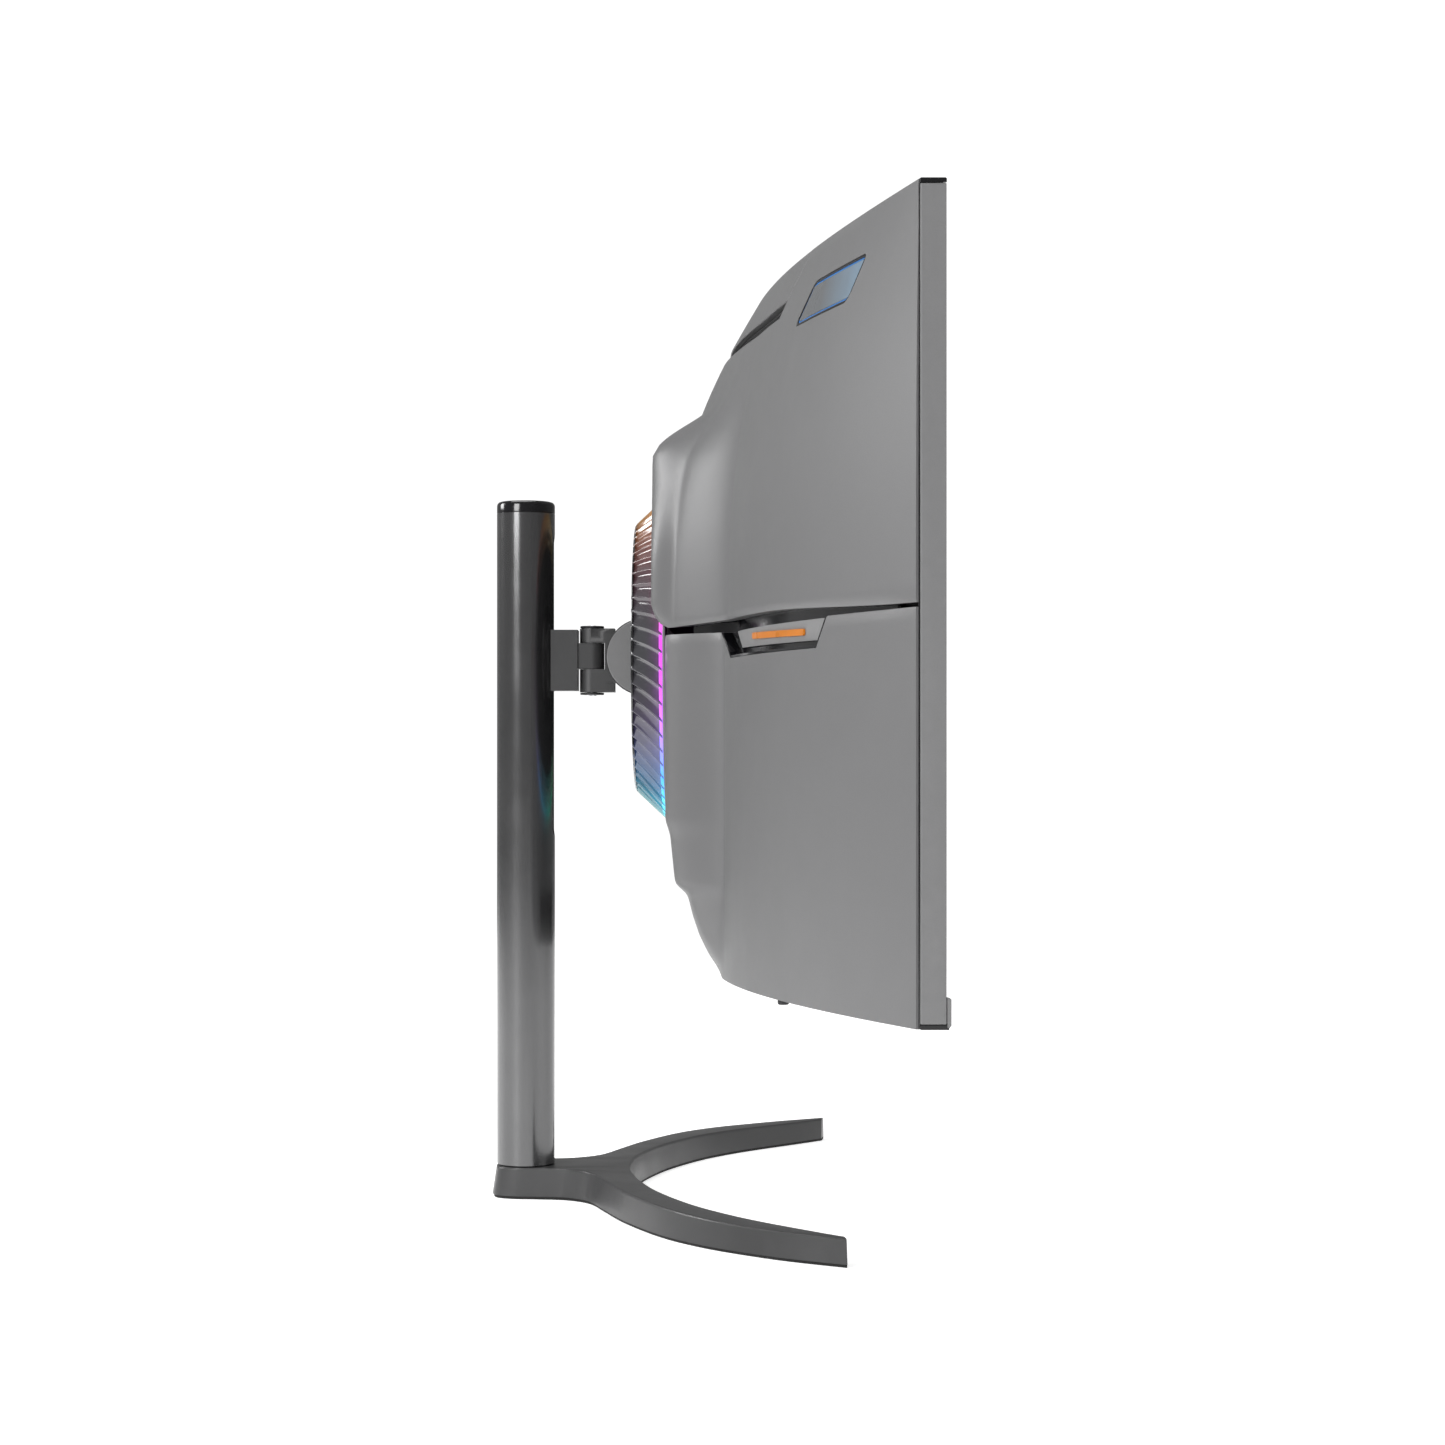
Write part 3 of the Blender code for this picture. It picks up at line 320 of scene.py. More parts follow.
def make_materials():
    made = {
        "shell_grey": shell_plastic("shell_grey", (0.12, 0.12, 0.122)),
        "frame_grey": moulded("frame_grey", (0.175, 0.175, 0.177), (0.38, 0.48), 0.0, 0.3, 2600.0, 0.12),
        "gloss_black": moulded("gloss_black", (0.005, 0.005, 0.006), (0.1, 0.18), 0.0, 0.04, 900.0),
        "matte_black": moulded("matte_black", (0.016, 0.016, 0.017), (0.45, 0.65), 0.0, 0.5, 2200.0, 0.1),
        "stand_grey": moulded("stand_grey", (0.042, 0.042, 0.043), (0.34, 0.44), 0.0, 0.2, 3200.0, 0.15, 0.1,
                              0.04),
        "rubber": moulded("rubber", (0.012, 0.012, 0.012), (0.75, 0.95), 0.0, 0.9, 1400.0),
        "film": moulded("film", (0.8, 0.8, 0.78), (0.35, 0.5), 0.0, 0.1),
        "chassis_steel": brushed("chassis_steel", (0.18, 0.18, 0.19), (0.4, 0.55)),
        "bright_steel": brushed("bright_steel", (0.58, 0.58, 0.6), (0.2, 0.34)),
        "acetal": moulded("acetal", (0.72, 0.72, 0.69), (0.4, 0.55), 0.0, 0.15),
        "board": circuit_board("board", (0.015, 0.09, 0.045)),
        "led_board": circuit_board("led_board", (0.5, 0.5, 0.5)),
        "screen": screen_glass(),
        "column_metal": moulded("column_metal", (0.14, 0.14, 0.142), (0.16, 0.22), 0.9, 0.05, 3200.0, 0.0,
                                0.25, 0.03),
        "ring_smoke": ring_plastic(),
        "ring_light": ring_light(),
        "orange_lens": lens("orange_lens", (0.3, 0.088, 0.0), 0.9),
        "blue_lens": lens("blue_lens", (0.02, 0.12, 0.34), 0.4, (0.1, 0.2)),
        "badge_glass": badge_glass(),
        "vent_mesh": moulded("vent_mesh", (0.03, 0.03, 0.031), (0.4, 0.6), 0.0, 0.4),
        "socket_metal": brushed("socket_metal", (0.62, 0.6, 0.55), (0.22, 0.36)),
        "socket_gold": brushed("socket_gold", (0.75, 0.52, 0.2), (0.2, 0.3)),
    }
    return {name: nodes.material for name, nodes in made.items()}


MATERIALS = make_materials()


# ---------------------------------------------------------------- building pieces

def put(name, bm, material, body, replaced=(), bevel=0.0, segments=2, sharp=32.0):
    """A piece from a bmesh in millimetres: smooth shaded, softly bevelled and riding on its body."""
    bmesh.ops.recalc_face_normals(bm, faces=bm.faces)
    bm.transform(Matrix.Scale(MM, 4))
    mesh = bpy.data.meshes.new(name)
    bm.to_mesh(mesh)
    bm.free()
    mesh.shade_smooth()
    mesh.set_sharp_from_angle(angle=radians(sharp))
    mesh.materials.append(MATERIALS[material])
    obj = bpy.data.objects.new(name, mesh)
    bpy.context.scene.collection.objects.link(obj)
    if body is None:
        return obj
    if bevel:
        soften(obj, bevel, segments, sharp)
    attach(obj, body)
    if replaced:
        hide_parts(*replaced)
    return obj


def soften(obj, width, segments=2, angle=32.0):
    modifier = obj.modifiers.new("Bevel", "BEVEL")
    modifier.width = width * MM
    modifier.segments = segments
    modifier.limit_method = "ANGLE"
    modifier.angle_limit = radians(angle)
    modifier.harden_normals = True
    modifier.use_clamp_overlap = True


def carve(obj, bm, operation="DIFFERENCE"):
    """Cut a helper shape from a piece, or join it, and bake the result into its mesh."""
    helper = put("helper", bm, "rubber", None)
    modifier = obj.modifiers.new("Carve", "BOOLEAN")
    modifier.operation = operation
    modifier.solver = "EXACT"
    modifier.object = helper
    obj.modifiers.move(len(obj.modifiers) - 1, 0)
    with bpy.context.temp_override(object=obj, active_object=obj, selected_objects=[obj]):
        bpy.ops.object.modifier_apply(modifier=modifier.name)
    obj.data.shade_smooth()
    obj.data.set_sharp_from_angle(angle=radians(32))
    bpy.data.objects.remove(helper)
    return obj


def loft(sections, closed=False):
    bm = bmesh.new()
    rings = [[bm.verts.new(point) for point in section] for section in sections]
    count = len(rings[0])
    last = len(rings) if closed else len(rings) - 1
    for i in range(last):
        a, b = rings[i], rings[(i + 1) % len(rings)]
        for j in range(count):
            k = (j + 1) % count
            bm.faces.new((a[j], a[k], b[k], b[j]))
    if not closed:
        bm.faces.new(rings[0])
        bm.faces.new(rings[-1])
    return bm


TURN = {"X": Matrix.Rotation(pi / 2, 4, "Y"), "Y": Matrix.Rotation(-pi / 2, 4, "X"), "Z": Matrix.Identity(4)}


def turned(profile, centre, axis="Z", steps=96):
    """Spin a closed (radius, height) profile about an axis through centre."""
    bm = bmesh.new()
    verts = [bm.verts.new((radius, 0.0, height)) for radius, height in profile]
    edges = [bm.edges.new((verts[i], verts[(i + 1) % len(verts)])) for i in range(len(verts))]
    bmesh.ops.spin(bm, geom=verts + edges, cent=(0, 0, 0), axis=(0, 0, 1), dvec=(0, 0, 0),
                   angle=2 * pi, steps=steps, use_merge=True)
    bmesh.ops.remove_doubles(bm, verts=bm.verts, dist=1e-5)
    bmesh.ops.dissolve_degenerate(bm, edges=bm.edges, dist=1e-5)
    bm.transform(Matrix.Translation(centre) @ TURN[axis])
    return bm


def cylinder(radius, low, high, centre, axis="Z", steps=64):
    sections = [[(radius * cos(2 * pi * i / steps), radius * sin(2 * pi * i / steps),
                  h) for i in range(steps)]
                for h in (low, high)]
    bm = loft(sections)
    bm.transform(Matrix.Translation(centre) @ TURN[axis])
    return bm


def block(low, high):
    bm = bmesh.new()
    bmesh.ops.create_cube(bm, size=1.0)
    size = Vector(high) - Vector(low)
    bm.transform(Matrix.Translation((Vector(high) + Vector(low)) / 2) @ Matrix.Diagonal((*size, 1.0)))
    return bm


def merged(*parts):
    """Several shapes as one mesh."""
    whole = bmesh.new()
    for part in parts:
        mesh = bpy.data.meshes.new("part")
        part.to_mesh(mesh)
        part.free()
        whole.from_mesh(mesh)
        bpy.data.meshes.remove(mesh)
    return whole


# ---------------------------------------------------------------- surfaces, as in the CAD model

def smoothstep(value, start, end):
    t = min(1.0, max(0.0, (value - start) / (end - start)))
    return t * t * (3 - 2 * t)


def front_y(x):
    return EDGE_FRONT_Y + sqrt(CURVE_R**2 - x * x) - sqrt(CURVE_R**2 - HALF_W**2)


def top_edge_y(x):
    t = abs(x)
    return -(0.5 + 0.03 * t + 5.28e-4 * t**2 - 3.8e-7 * t**3) - 31.25


def side_y(x):
    t = max(abs(x) - 105.0, 0.0)
    return 17.8 - 0.07 * t - 9.5e-4 * t**2 + 5.3e-7 * t**3 - 31.25


def lip_z(x):
    t = abs(x)
    return LIP_Z + 2.0 * smoothstep(t, 90, 150) - 4.0 * smoothstep(t, 230, HALF_W)


def upper_y(x, z):
    t = abs(x)
    narrow = max(0.0, 1 - (x / 150.0) ** 2) ** 2
    broad = 1 - smoothstep(t, 80, 155)
    lift = narrow + (broad - narrow) * (1 - smoothstep(z, SHOULDER_LOW_Z, SHOULDER_HIGH_Z))
    low = side_y(x) + 30.0 * lift
    fall = 1 - (1 - min(1.0, max(0.0, (SCREEN_HIGH - z) / (SCREEN_HIGH - LIP_Z)))) ** 2.5
    shell = top_edge_y(x) + (low - top_edge_y(x)) * fall
    hub = HUB_Y - 6.5 * max(0.0, (335.0 - z) / 16.0) ** 2
    narrowing = smoothstep(z, HUB_NARROW_Z, HUB_TOP_Z)
    share = 1 - smoothstep(t, HUB_HALF_W - 20.0 * narrowing, HUB_FADE_W - 4.0 * narrowing)
    share *= 1 - smoothstep(z, HUB_TOP_Z, HUB_BLEND_Z)
    return shell + (max(hub, shell) - shell) * share


BOSS_PROFILE = ((133.5, -15.8), (144, -8.2), (154, -3.2), (165, 0.5), (175, 3.0), (178, 4.8),
                (181, 9.6), (186, 10.4), (208, 12.6), (216, 15.2), (320, 15.2))


def boss_y(z):
    for (z0, y0), (z1, y1) in zip(BOSS_PROFILE, BOSS_PROFILE[1:]):
        if z <= z1:
            return y0 + (y1 - y0) * (z - z0) / (z1 - z0)
    return BOSS_PROFILE[-1][1]


def smooth_boss_y(z):
    """The boss profile with its corners rounded over 2 mm."""
    reach = 2.0
    samples = 5
    total = sum(boss_y(z + reach * (2 * i / (samples - 1) - 1)) for i in range(samples))
    edge = boss_y(SCREEN_LOW) + (z - SCREEN_LOW) * 0.72
    return edge if z < SCREEN_LOW + reach else total / samples


def lower_y(x, z):
    share = 1 - smoothstep(abs(x), BOSS_HALF_W, BOSS_FADE_W)
    return side_y(x) + (smooth_boss_y(z) - side_y(x)) * share


def lower_rim_y(x, _z):
    return lower_y(x, LOWER_TOP_Z)


def groove_y(x, _z):
    return min(lower_rim_y(x, LOWER_TOP_Z), upper_y(x, lip_z(x)))


def wall_depth(x, y):
    return min(WALL, y - front_y(x) - STACK_DEPTH - 0.1)


def flange_depth(x, y):
    return max(wall_depth(x, y), min(FLANGE, y - front_y(x) - STACK_DEPTH - 2.4))


def spread(stops):
    """Positions from (value, spacing) stops: the spacing holds up to the next stop."""
    out = []
    for (start, step), (end, _step) in zip(stops, stops[1:]):
        count = max(1, round(abs(end - start) / step))
        out += [start + (end - start) * i / count for i in range(count)]
    return out + [stops[-1][0]]


def mirrored(positions):
    return [-x for x in reversed(positions)] + [x for x in positions if x > 0]


COVER_COLUMNS = mirrored(spread(((0, 8.0), (64, 1.5), (160, 5.0), (COVER_HALF_W, 1.0))))


def shell_section(x, rows, surface, edge_z, edge_out, flange_z, flange_out, chamfer):
    """One closed ring of a cover at x, with a chamfer before its turned-in flange."""
    ys = [surface(x, z) for z in rows]
    front = min(front_y(x) + STACK_DEPTH + 0.4, ys[0] - wall_depth(x, ys[0]) - 0.2)
    outside = [(x, front, edge_z)] + [(x, y, z) for y, z in zip(ys, rows)]
    last = surface(x, flange_z)
    reach = flange_depth(x, last)
    share = min(1.0, reach / FLANGE)
    turn_in = [(x, surface(x, flange_z + chamfer * flange_out), flange_z + chamfer * flange_out),
               (x, last - 0.55 * abs(chamfer) * share, flange_z), (x, last - reach, flange_z),
               (x, last - reach, flange_z + WALL * flange_out)]
    inner_rows = [edge_z + WALL * edge_out] + rows[3:-1] + [flange_z + WALL * flange_out]
    inside = [(x, surface(x, z) - wall_depth(x, surface(x, z)), z) for z in reversed(inner_rows)]
    return outside + turn_in + inside + [(x, front, edge_z + WALL * edge_out)]


def strip(pairs, surface, start, end):
    sections = []
    for (x0, z0), (x1, z1) in pairs:
        a, b = surface(x0, z0), surface(x1, z1)
        sections.append([(x0, a - start, z0), (x1, b - start, z1), (x1, b - end, z1), (x0, a - end, z0)])
    return loft(sections)


# ---------------------------------------------------------------- rear shells

def panel_half(z):
    spread_out = PANEL_HALF_HIGH - PANEL_HALF_LOW
    return PANEL_HALF_LOW + spread_out * (z - PANEL_LOW_Z) / (SCREEN_HIGH - PANEL_LOW_Z)


BADGE_LOW, BADGE_HIGH = 458.5, 478.0
BADGE_X, BADGE_W, BADGE_LEAN = 238.0, 79.0, 19.5


def badge_pairs(side, inset, steps=16):
    """Columns of the leaning badge outline, with its four corners cut round."""
    pairs = []
    corner = max(0.4, 4.0 - inset)
    for i in range(steps + 1):
        share = i / steps
        place = (BADGE_W - 2 * inset) * (0.5 - 0.5 * cos(pi * share))
        near = min(place, BADGE_W - 2 * inset - place)
        trim = corner - sqrt(max(0.0, corner**2 - max(0.0, corner - near) ** 2)) if near < corner else 0.0
        start = BADGE_X + inset + place
        ends = []
        for z in (BADGE_LOW + inset + trim, BADGE_HIGH - inset - trim):
            ends.append((side * (start + BADGE_LEAN * (z - BADGE_LOW) / (BADGE_HIGH - BADGE_LOW)), z))
        pairs.append(tuple(ends))
    return pairs


def build_upper_cover():
    rows = spread(((SCREEN_HIGH, 3.0), (450, 1.6), (420, 6.0), (337, 1.6), (325, 1.0)))
    sections = [shell_section(x, rows, upper_y, SCREEN_HIGH, -1, lip_z(x), 1, 2.2) for x in COVER_COLUMNS]
    cover = put("upper_shell", loft(sections), "shell_grey", "head", ("upper_rear_cover",))
    low, high = VENT_LOW_Z, SCREEN_HIGH + 4
    ends = []
    for side in (-1, 1):
        ends.append([(side * panel_half(z), y, z) for z, y in ((low, 20.0), (low, -90.0), (high, -90.0),
                                                               (high, 20.0))])
    carve(cover, loft(ends))
    cone = [(0, 0.0), (RING_BASE_R + 0.8 - RING_SLOPE * RING_BASE_Y, 0.0),
            (RING_BASE_R + 0.8 + RING_SLOPE * 24.0, 40.2), (0, 40.2)]
    carve(cover, turned(cone, (0, 0, RING_Z), "Y", 128))
    for side in (-1, 1):
        carve(cover, strip(badge_pairs(side, 0.0), upper_y, -6.0, 8.0))
    soften(cover, 0.35, 2, 38.0)


def build_top_panel():
    rows = spread(((SCREEN_HIGH, 2.5), (PANEL_LOW_Z + 0.8, 1.0)))
    inner_rows = [SCREEN_HIGH - WALL]
    inner_rows += [z for z in rows if PANEL_LOW_Z + 4 < z < SCREEN_HIGH - 4]
    inner_rows += [PANEL_LOW_Z + 2.4]
    sections = []
    steps = 72
    for i in range(steps + 1):
        share = 2 * i / steps - 1

        def point(z, depth):
            x = share * (panel_half(z) - 0.8)
            return (x, upper_y(x, z) - depth, z)

        front = front_y(share * PANEL_HALF_HIGH) + STACK_DEPTH + 0.4
        top, under = point(rows[0], 0), point(inner_rows[0], 0)
        section = [(top[0], front, top[2])] + [point(z, 0) for z in rows]
        section += [point(PANEL_LOW_Z + 0.3, 0.9), point(PANEL_LOW_Z + 0.3, 6.0), point(inner_rows[-1], 6.0)]
        section += [point(z, WALL) for z in reversed(inner_rows)]
        sections.append(section + [(under[0], front, under[2])])
    put("top_centre_panel", loft(sections), "shell_grey", "head", ("top_panel",), bevel=0.3)
    seams = []
    for side in (-1, 1):
        rows = [SCREEN_HIGH - 0.6 - 1.5 * i for i in range(19)]
        pair = [((side * (panel_half(z) - 0.75), z), (side * (panel_half(z) - 0.02),
                                                      z)) for z in rows if z > VENT_LOW_Z]
        seams.append(strip(pair, upper_y, 0.12, 2.2))
    put("top_panel_seams", merged(*seams), "gloss_black", "head")


def build_vent():
    """Perforated strip behind the slot: staggered slots between slanted bars, held in a rim."""
    parts = []
    half, low, high = 197.0, VENT_LOW_Z - 1.6, PANEL_LOW_Z - 0.2
    for z0, z1 in ((low, low + 1.4), (high - 1.0, high)):
        parts.append(strip([((x, z0), (x, z1)) for x in mirrored(spread(((0, 10.0), (half, 1.0))))], upper_y,
                           3.9, 5.1))
    count = 150
    for i in range(count):
        x = -half + 2 * half * (i + 0.5) / count
        for lean in (-1.3, 1.3):
            bar = [((x - lean - 0.25, low + 1.0), (x + lean - 0.25, high - 0.6)),
                   ((x - lean + 0.25, low + 1.0), (x + lean + 0.25, high - 0.6))]
            parts.append(strip(bar, upper_y, 3.9 + 0.02 * lean, 4.9))
    put("vent_mesh", merged(*parts), "vent_mesh", "head", ("vent_grille",))
    back = [((x, low), (x, high)) for x in mirrored(spread(((0, 10.0), (half, 1.0))))]
    put("vent_dust_screen", strip(back, upper_y, 5.6, 6.0), "matte_black", "head")


def build_badges():
    for name, side in (("left", -1), ("right", 1)):
        for piece, outer, inner, proud, deep, finish in (("badge_rim", 0.35, 1.3, 0.1, 3.0, "gloss_black"),
                                                         ("badge_glow", 1.4, 2.1, 0.5, 3.0, "blue_lens")):
            rim = put(f"{piece}_{name}", strip(badge_pairs(side, outer), upper_y, proud, deep), finish,
                      "head",
                      (f"badge_frame_{name}",))
            carve(rim, strip(badge_pairs(side, inner), upper_y, -6.0, 9.0))
            soften(rim, 0.15, 2, 40.0)
        put(f"badge_glass_{name}", strip(badge_pairs(side, 2.2), upper_y, 0.35, 2.2), "badge_glass", "head",
            (f"badge_lens_{name}",), bevel=0.3)


TRAY_LOW_Z = 300.7
TRAY_IN_LOW, TRAY_OUT_LOW = 160.0, 304.0
TRAY_IN_SLOPE, TRAY_OUT_SLOPE = -26.0 / 14.3, 12.0 / 14.3
BAR_START, BAR_END = 200.0, 281.0


def tray_pairs(side, inset, top, steps=36):
    low = TRAY_LOW_Z + inset
    ends = []
    for z in (low, top):
        rise = z - TRAY_LOW_Z
        ends.append((TRAY_IN_LOW + TRAY_IN_SLOPE * rise + 2.07 * inset,
                     TRAY_OUT_LOW + TRAY_OUT_SLOPE * rise - 1.3 * inset))
    pairs = []
    for i in range(steps + 1):
        share = i / steps
        pairs.append(tuple((side * (start + (end - start) * share), z) for (start, end),
                           z in zip(ends, (low, top))))
    return pairs


def rounded_columns(side, lower, upper, rounding, steps=32):
    """Columns between a lower and an upper edge, each given as (x0, z0, x1, z1), with rounded ends."""
    length = lower[2] - lower[0]
    pairs = []
    for i in range(steps + 1):
        share = 0.5 - 0.5 * cos(pi * i / steps)
        near = min(share, 1 - share) * length
        trim = rounding - sqrt(max(0.0, rounding**2 - (rounding - near) ** 2)) if near < rounding else 0.0
        ends = []
        for (x0, z0, x1, z1), turn in ((lower, 1), (upper, -1)):
            ends.append((side * (x0 + (x1 - x0) * share), z0 + (z1 - z0) * share + turn * trim * 0.9))
        pairs.append(tuple(ends))
    return pairs


def build_accents():
    for name, side in (("left", -1), ("right", 1)):
        xs = spread(((106, 2.0), (145, 5.0), (366, 1.0)))
        pairs = [((side * x, LOWER_TOP_Z - 5.0), (side * x, LOWER_TOP_Z + 9.0)) for x in xs]
        put(f"groove_trim_{name}", strip(pairs, groove_y, FLANGE + 0.4, FLANGE + 1.8), "gloss_black", "head",
            (f"accent_trim_{name}",))
        tray = put(f"light_bar_tray_{name}", strip(tray_pairs(side, 0.25, LOWER_TOP_Z - 0.3), lower_rim_y,
                                                   0.1, FLANGE + 0.3),
                   "gloss_black", "head", (f"accent_trim_{name}",))
        carve(tray, strip(tray_pairs(side, 1.3, LOWER_TOP_Z + 3.0), lower_rim_y, -1.0, FLANGE - 1.0))
        soften(tray, 0.3, 2, 30.0)
        plate = rounded_columns(side, (171.0, 305.6, 298.0, 304.6), (159.0, 314.6, 303.5, 314.6), 0.8)
        put(f"light_bar_plate_{name}", strip(plate, lower_rim_y, 4.2, FLANGE - 1.1), "frame_grey", "head",
            (f"light_bar_plate_{name}",), bevel=0.2)
        bar = rounded_columns(side, (BAR_START, 308.9, BAR_END, 307.4), (BAR_START, 312.1, BAR_END, 310.6),
                              1.3)
        put(f"light_bar_{name}", strip(bar, lower_rim_y, 3.0, 4.1), "orange_lens", "head",
            (f"light_bar_lens_{name}",),
            bevel=0.35)


def build_lower_cover():
    rows = spread(((SCREEN_LOW, 1.6), (219, 6.0), (309, 1.0)))
    sections = [shell_section(x, rows, lower_y, SCREEN_LOW, 1, LOWER_TOP_Z, -1, 0.7) for x in COVER_COLUMNS]
    cover = put("lower_shell", loft(sections), "shell_grey", "head", ("lower_rear_cover",))
    for side in (-1, 1):
        carve(cover, strip(tray_pairs(side, 0.0, LOWER_TOP_Z + 0.5), lower_rim_y, -8.0, FLANGE + 3.0))
    carve(cover, cylinder(60.0, -20.0, 40.0, (0, 0, RING_Z), "Y", 96))
    carve(cover, cylinder(STICK_HOLE_R, 120.0, 139.0, (STICK_X, STICK_Y, 0), steps=48))
    carve(cover, block((-BAY_HALF_W, -40.0, 120.0), (BAY_HALF_W, 20.0, BAY_TOP)))
    soften(cover, 0.35, 2, 38.0)


# ---------------------------------------------------------------- screen

def panel_sheet(half_width, low, high, start, end, step=8.0):
    count = round(half_width / step)
    sections = []
    for i in range(-count, count + 1):
        x = half_width * i / count
        y = front_y(x)
        sections.append([(x, y + start, low), (x, y + start, high), (x, y + end, high), (x, y + end, low)])
    return loft(sections)


def build_screen():
    low, high = SCREEN_LOW + CHIN_HEIGHT + 0.3, SCREEN_HIGH - 2.4
    put("screen_panel", panel_sheet(396.6, low, high, 0.5, 1.9), "screen", "head", ("lcd_panel",))
    marks = mirrored(spread(((0, 8.0), (396.8, 0.4), (397.3, 0.6), (HALF_W, 1.0))))
    top, chin, edge, slim = [], [], [], 0.9
    for x in marks:
        y = front_y(x)
        depth = FRAME_DEPTH if abs(x) > 397.0 else STACK_DEPTH
        top.append([(x, y, SCREEN_HIGH - 2.0), (x, y, SCREEN_HIGH - 0.5), (x, y + 0.5, SCREEN_HIGH),
                    (x, y + depth - 0.3, SCREEN_HIGH), (x, y + depth, SCREEN_HIGH - 0.3), (x, y + depth,
                            SCREEN_HIGH - 2.0)])
        chin_top, front = SCREEN_LOW + CHIN_HEIGHT, y - CHIN_PROUD
        chin.append([(x, front + 0.7, SCREEN_LOW + slim), (x, front, SCREEN_LOW + slim + 1.0),
                     (x, front, chin_top - 0.7),
                     (x, front + 0.7, chin_top), (x, y - 0.3, chin_top), (x, y - 0.3, SCREEN_LOW + slim)])
        edge.append([(x, front + 1.2, SCREEN_LOW), (x, front + 0.9, SCREEN_LOW + 0.3),
                     (x, front + 0.9, SCREEN_LOW + slim),
                     (x, y - 0.3, SCREEN_LOW + slim), (x, y - 0.3, SCREEN_LOW + 2.0), (x, y + depth,
                             SCREEN_LOW + 2.0),
                     (x, y + depth, SCREEN_LOW + 0.3), (x, y + depth - 0.3, SCREEN_LOW)])
    put("top_edge_trim", loft(top), "gloss_black", "head", ("top_frame",))
    put("chin", loft(chin), "frame_grey", "head", ("bottom_bezel",))
    put("bottom_edge_trim", loft(edge), "gloss_black", "head", ("bottom_bezel",))
    for name, side in (("left", -1), ("right", 1)):
        y = front_y(HALF_W)
        wall = [(397.2, front_y(397.2)), (HALF_W, y), (HALF_W, y + FRAME_DEPTH), (397.2, y + FRAME_DEPTH),
                (397.2, front_y(397.2) + 7.6), (389.0, front_y(389) + 7.6), (389.0,
                        front_y(389) + 6.6), (397.2, front_y(397.2) + 6.6)]
        ends = [[(side * x, yy, z) for x, yy in wall] for z in (SCREEN_LOW + 2.3, SCREEN_HIGH - 2.3)]
        put(f"side_rail_{name}", loft(ends), "frame_grey", "head", (f"side_frame_{name}",), bevel=0.45,
            segments=3)
        # Painted shade: a thin gloss black strip behind the side rail stands in for the shadow in the gap
        # between frame and rear cover
        gap_shadow_outline = [[(side * 396.9, y + FRAME_DEPTH + 0.05, z), (side * 398.2, y + FRAME_DEPTH + 0.05, z),
                 (side * 397.8, y + FRAME_DEPTH + 0.6, z), (side * 396.9, y + FRAME_DEPTH + 0.8, z)]
                for z in (SCREEN_LOW + 0.4, SCREEN_HIGH - 0.4)]
        put(f"side_gap_shadow_{name}", loft(gap_shadow_outline), "gloss_black", "head", bevel=0.1)


# ---------------------------------------------------------------- light ring

def ring_radius(y):
    return RING_BASE_R + RING_SLOPE * (y - RING_BASE_Y)


# Height of one fin round the ring, as (share of its pitch, depth below the crest)
FIN_SHAPE = ((0.0, 0.0), (0.05, 0.1), (0.13, 1.9), (0.28, 2.2), (0.5, 1.8), (0.75, 1.15), (0.93, 0.4))


def build_ring():
    centre = (0, 0, RING_Z)
    root_y, lip_y, depth = 17.4, RING_REAR_Y - 2.5, RING_REAR_Y - 17.4
    levels = (0.0, 0.04, 0.12, 0.25, 0.4, 0.55, 0.7, 0.84, 0.94, 1.0)
    sections = []
    for fin in range(RING_FINS):
        for place, drop in FIN_SHAPE:
            angle = 2 * pi * (fin + place) / RING_FINS

            def point(radius, y):
                t = (y - root_y) / depth
                a = angle + RING_SWIRL * (0.75 * t + 0.25 * (1 - (1 - t) ** 2))
                return (radius * cos(a), y, RING_Z + radius * sin(a))

            outer = []
            for level in levels:
                y = root_y + depth * level
                ease = 1.0 - 0.6 * smoothstep(level, 0.9, 1.0)
                outer.append(point(ring_radius(y) - drop * ease - 0.4 * smoothstep(level, 0.93, 1.0), y))
            inner = [point(RING_REAR_R - 7.2, RING_REAR_Y), point(RING_REAR_R - 6.5, lip_y),
                     point(RING_BASE_R - 7.0, root_y)]
            sections.append(outer + inner)
    put("ring_fins", loft(sections, closed=True), "ring_smoke", "head", ("ring_diffuser",), sharp=50.0)
    strip_profile = [(85.0, 17.15), (ring_radius(17.15) - 0.5, 17.15), (ring_radius(18.9) - 0.7, 18.9),
                     (85.0, 18.9)]
    put("ring_light_strip", turned(strip_profile, centre, "Y", 180), "ring_light", "head",
        ("ring_led_board",))
    rim = [(70.5, 33.7), (ring_radius(33.7) - 0.1, 33.7), (RING_REAR_R - 0.35, 34.35), (RING_REAR_R - 0.8,
            34.75), (70.5, 34.75)]
    put("ring_rear_rim", turned(rim, centre, "Y", 180), "gloss_black", "head")
    plate = [(60.0, 15.5), (RING_BASE_R - 0.4, 15.5), (RING_BASE_R, 15.8), (RING_BASE_R, 16.7),
             (RING_BASE_R - 0.4, 17.0), (60.0, 17.0)]
    put("ring_base_plate", turned(plate, centre, "Y", 180), "frame_grey", "head", ("ring_base",))
    cap = [(32.0, 28.6), (67.6, 28.6), (67.6, 31.4), (67.0, 32.0), (65.6, 32.0), (65.0, 31.4), (64.0, 31.4),
           (63.4, 31.95),
           (50.0, 31.4), (36.0, 30.9), (33.4, 30.9), (32.6, 30.4), (32.0, 30.2)]
    put("ring_centre_disc", turned(cap, centre, "Y", 128), "gloss_black", "head", ("ring_centre_cap",))


# ---------------------------------------------------------------- hinges and neck

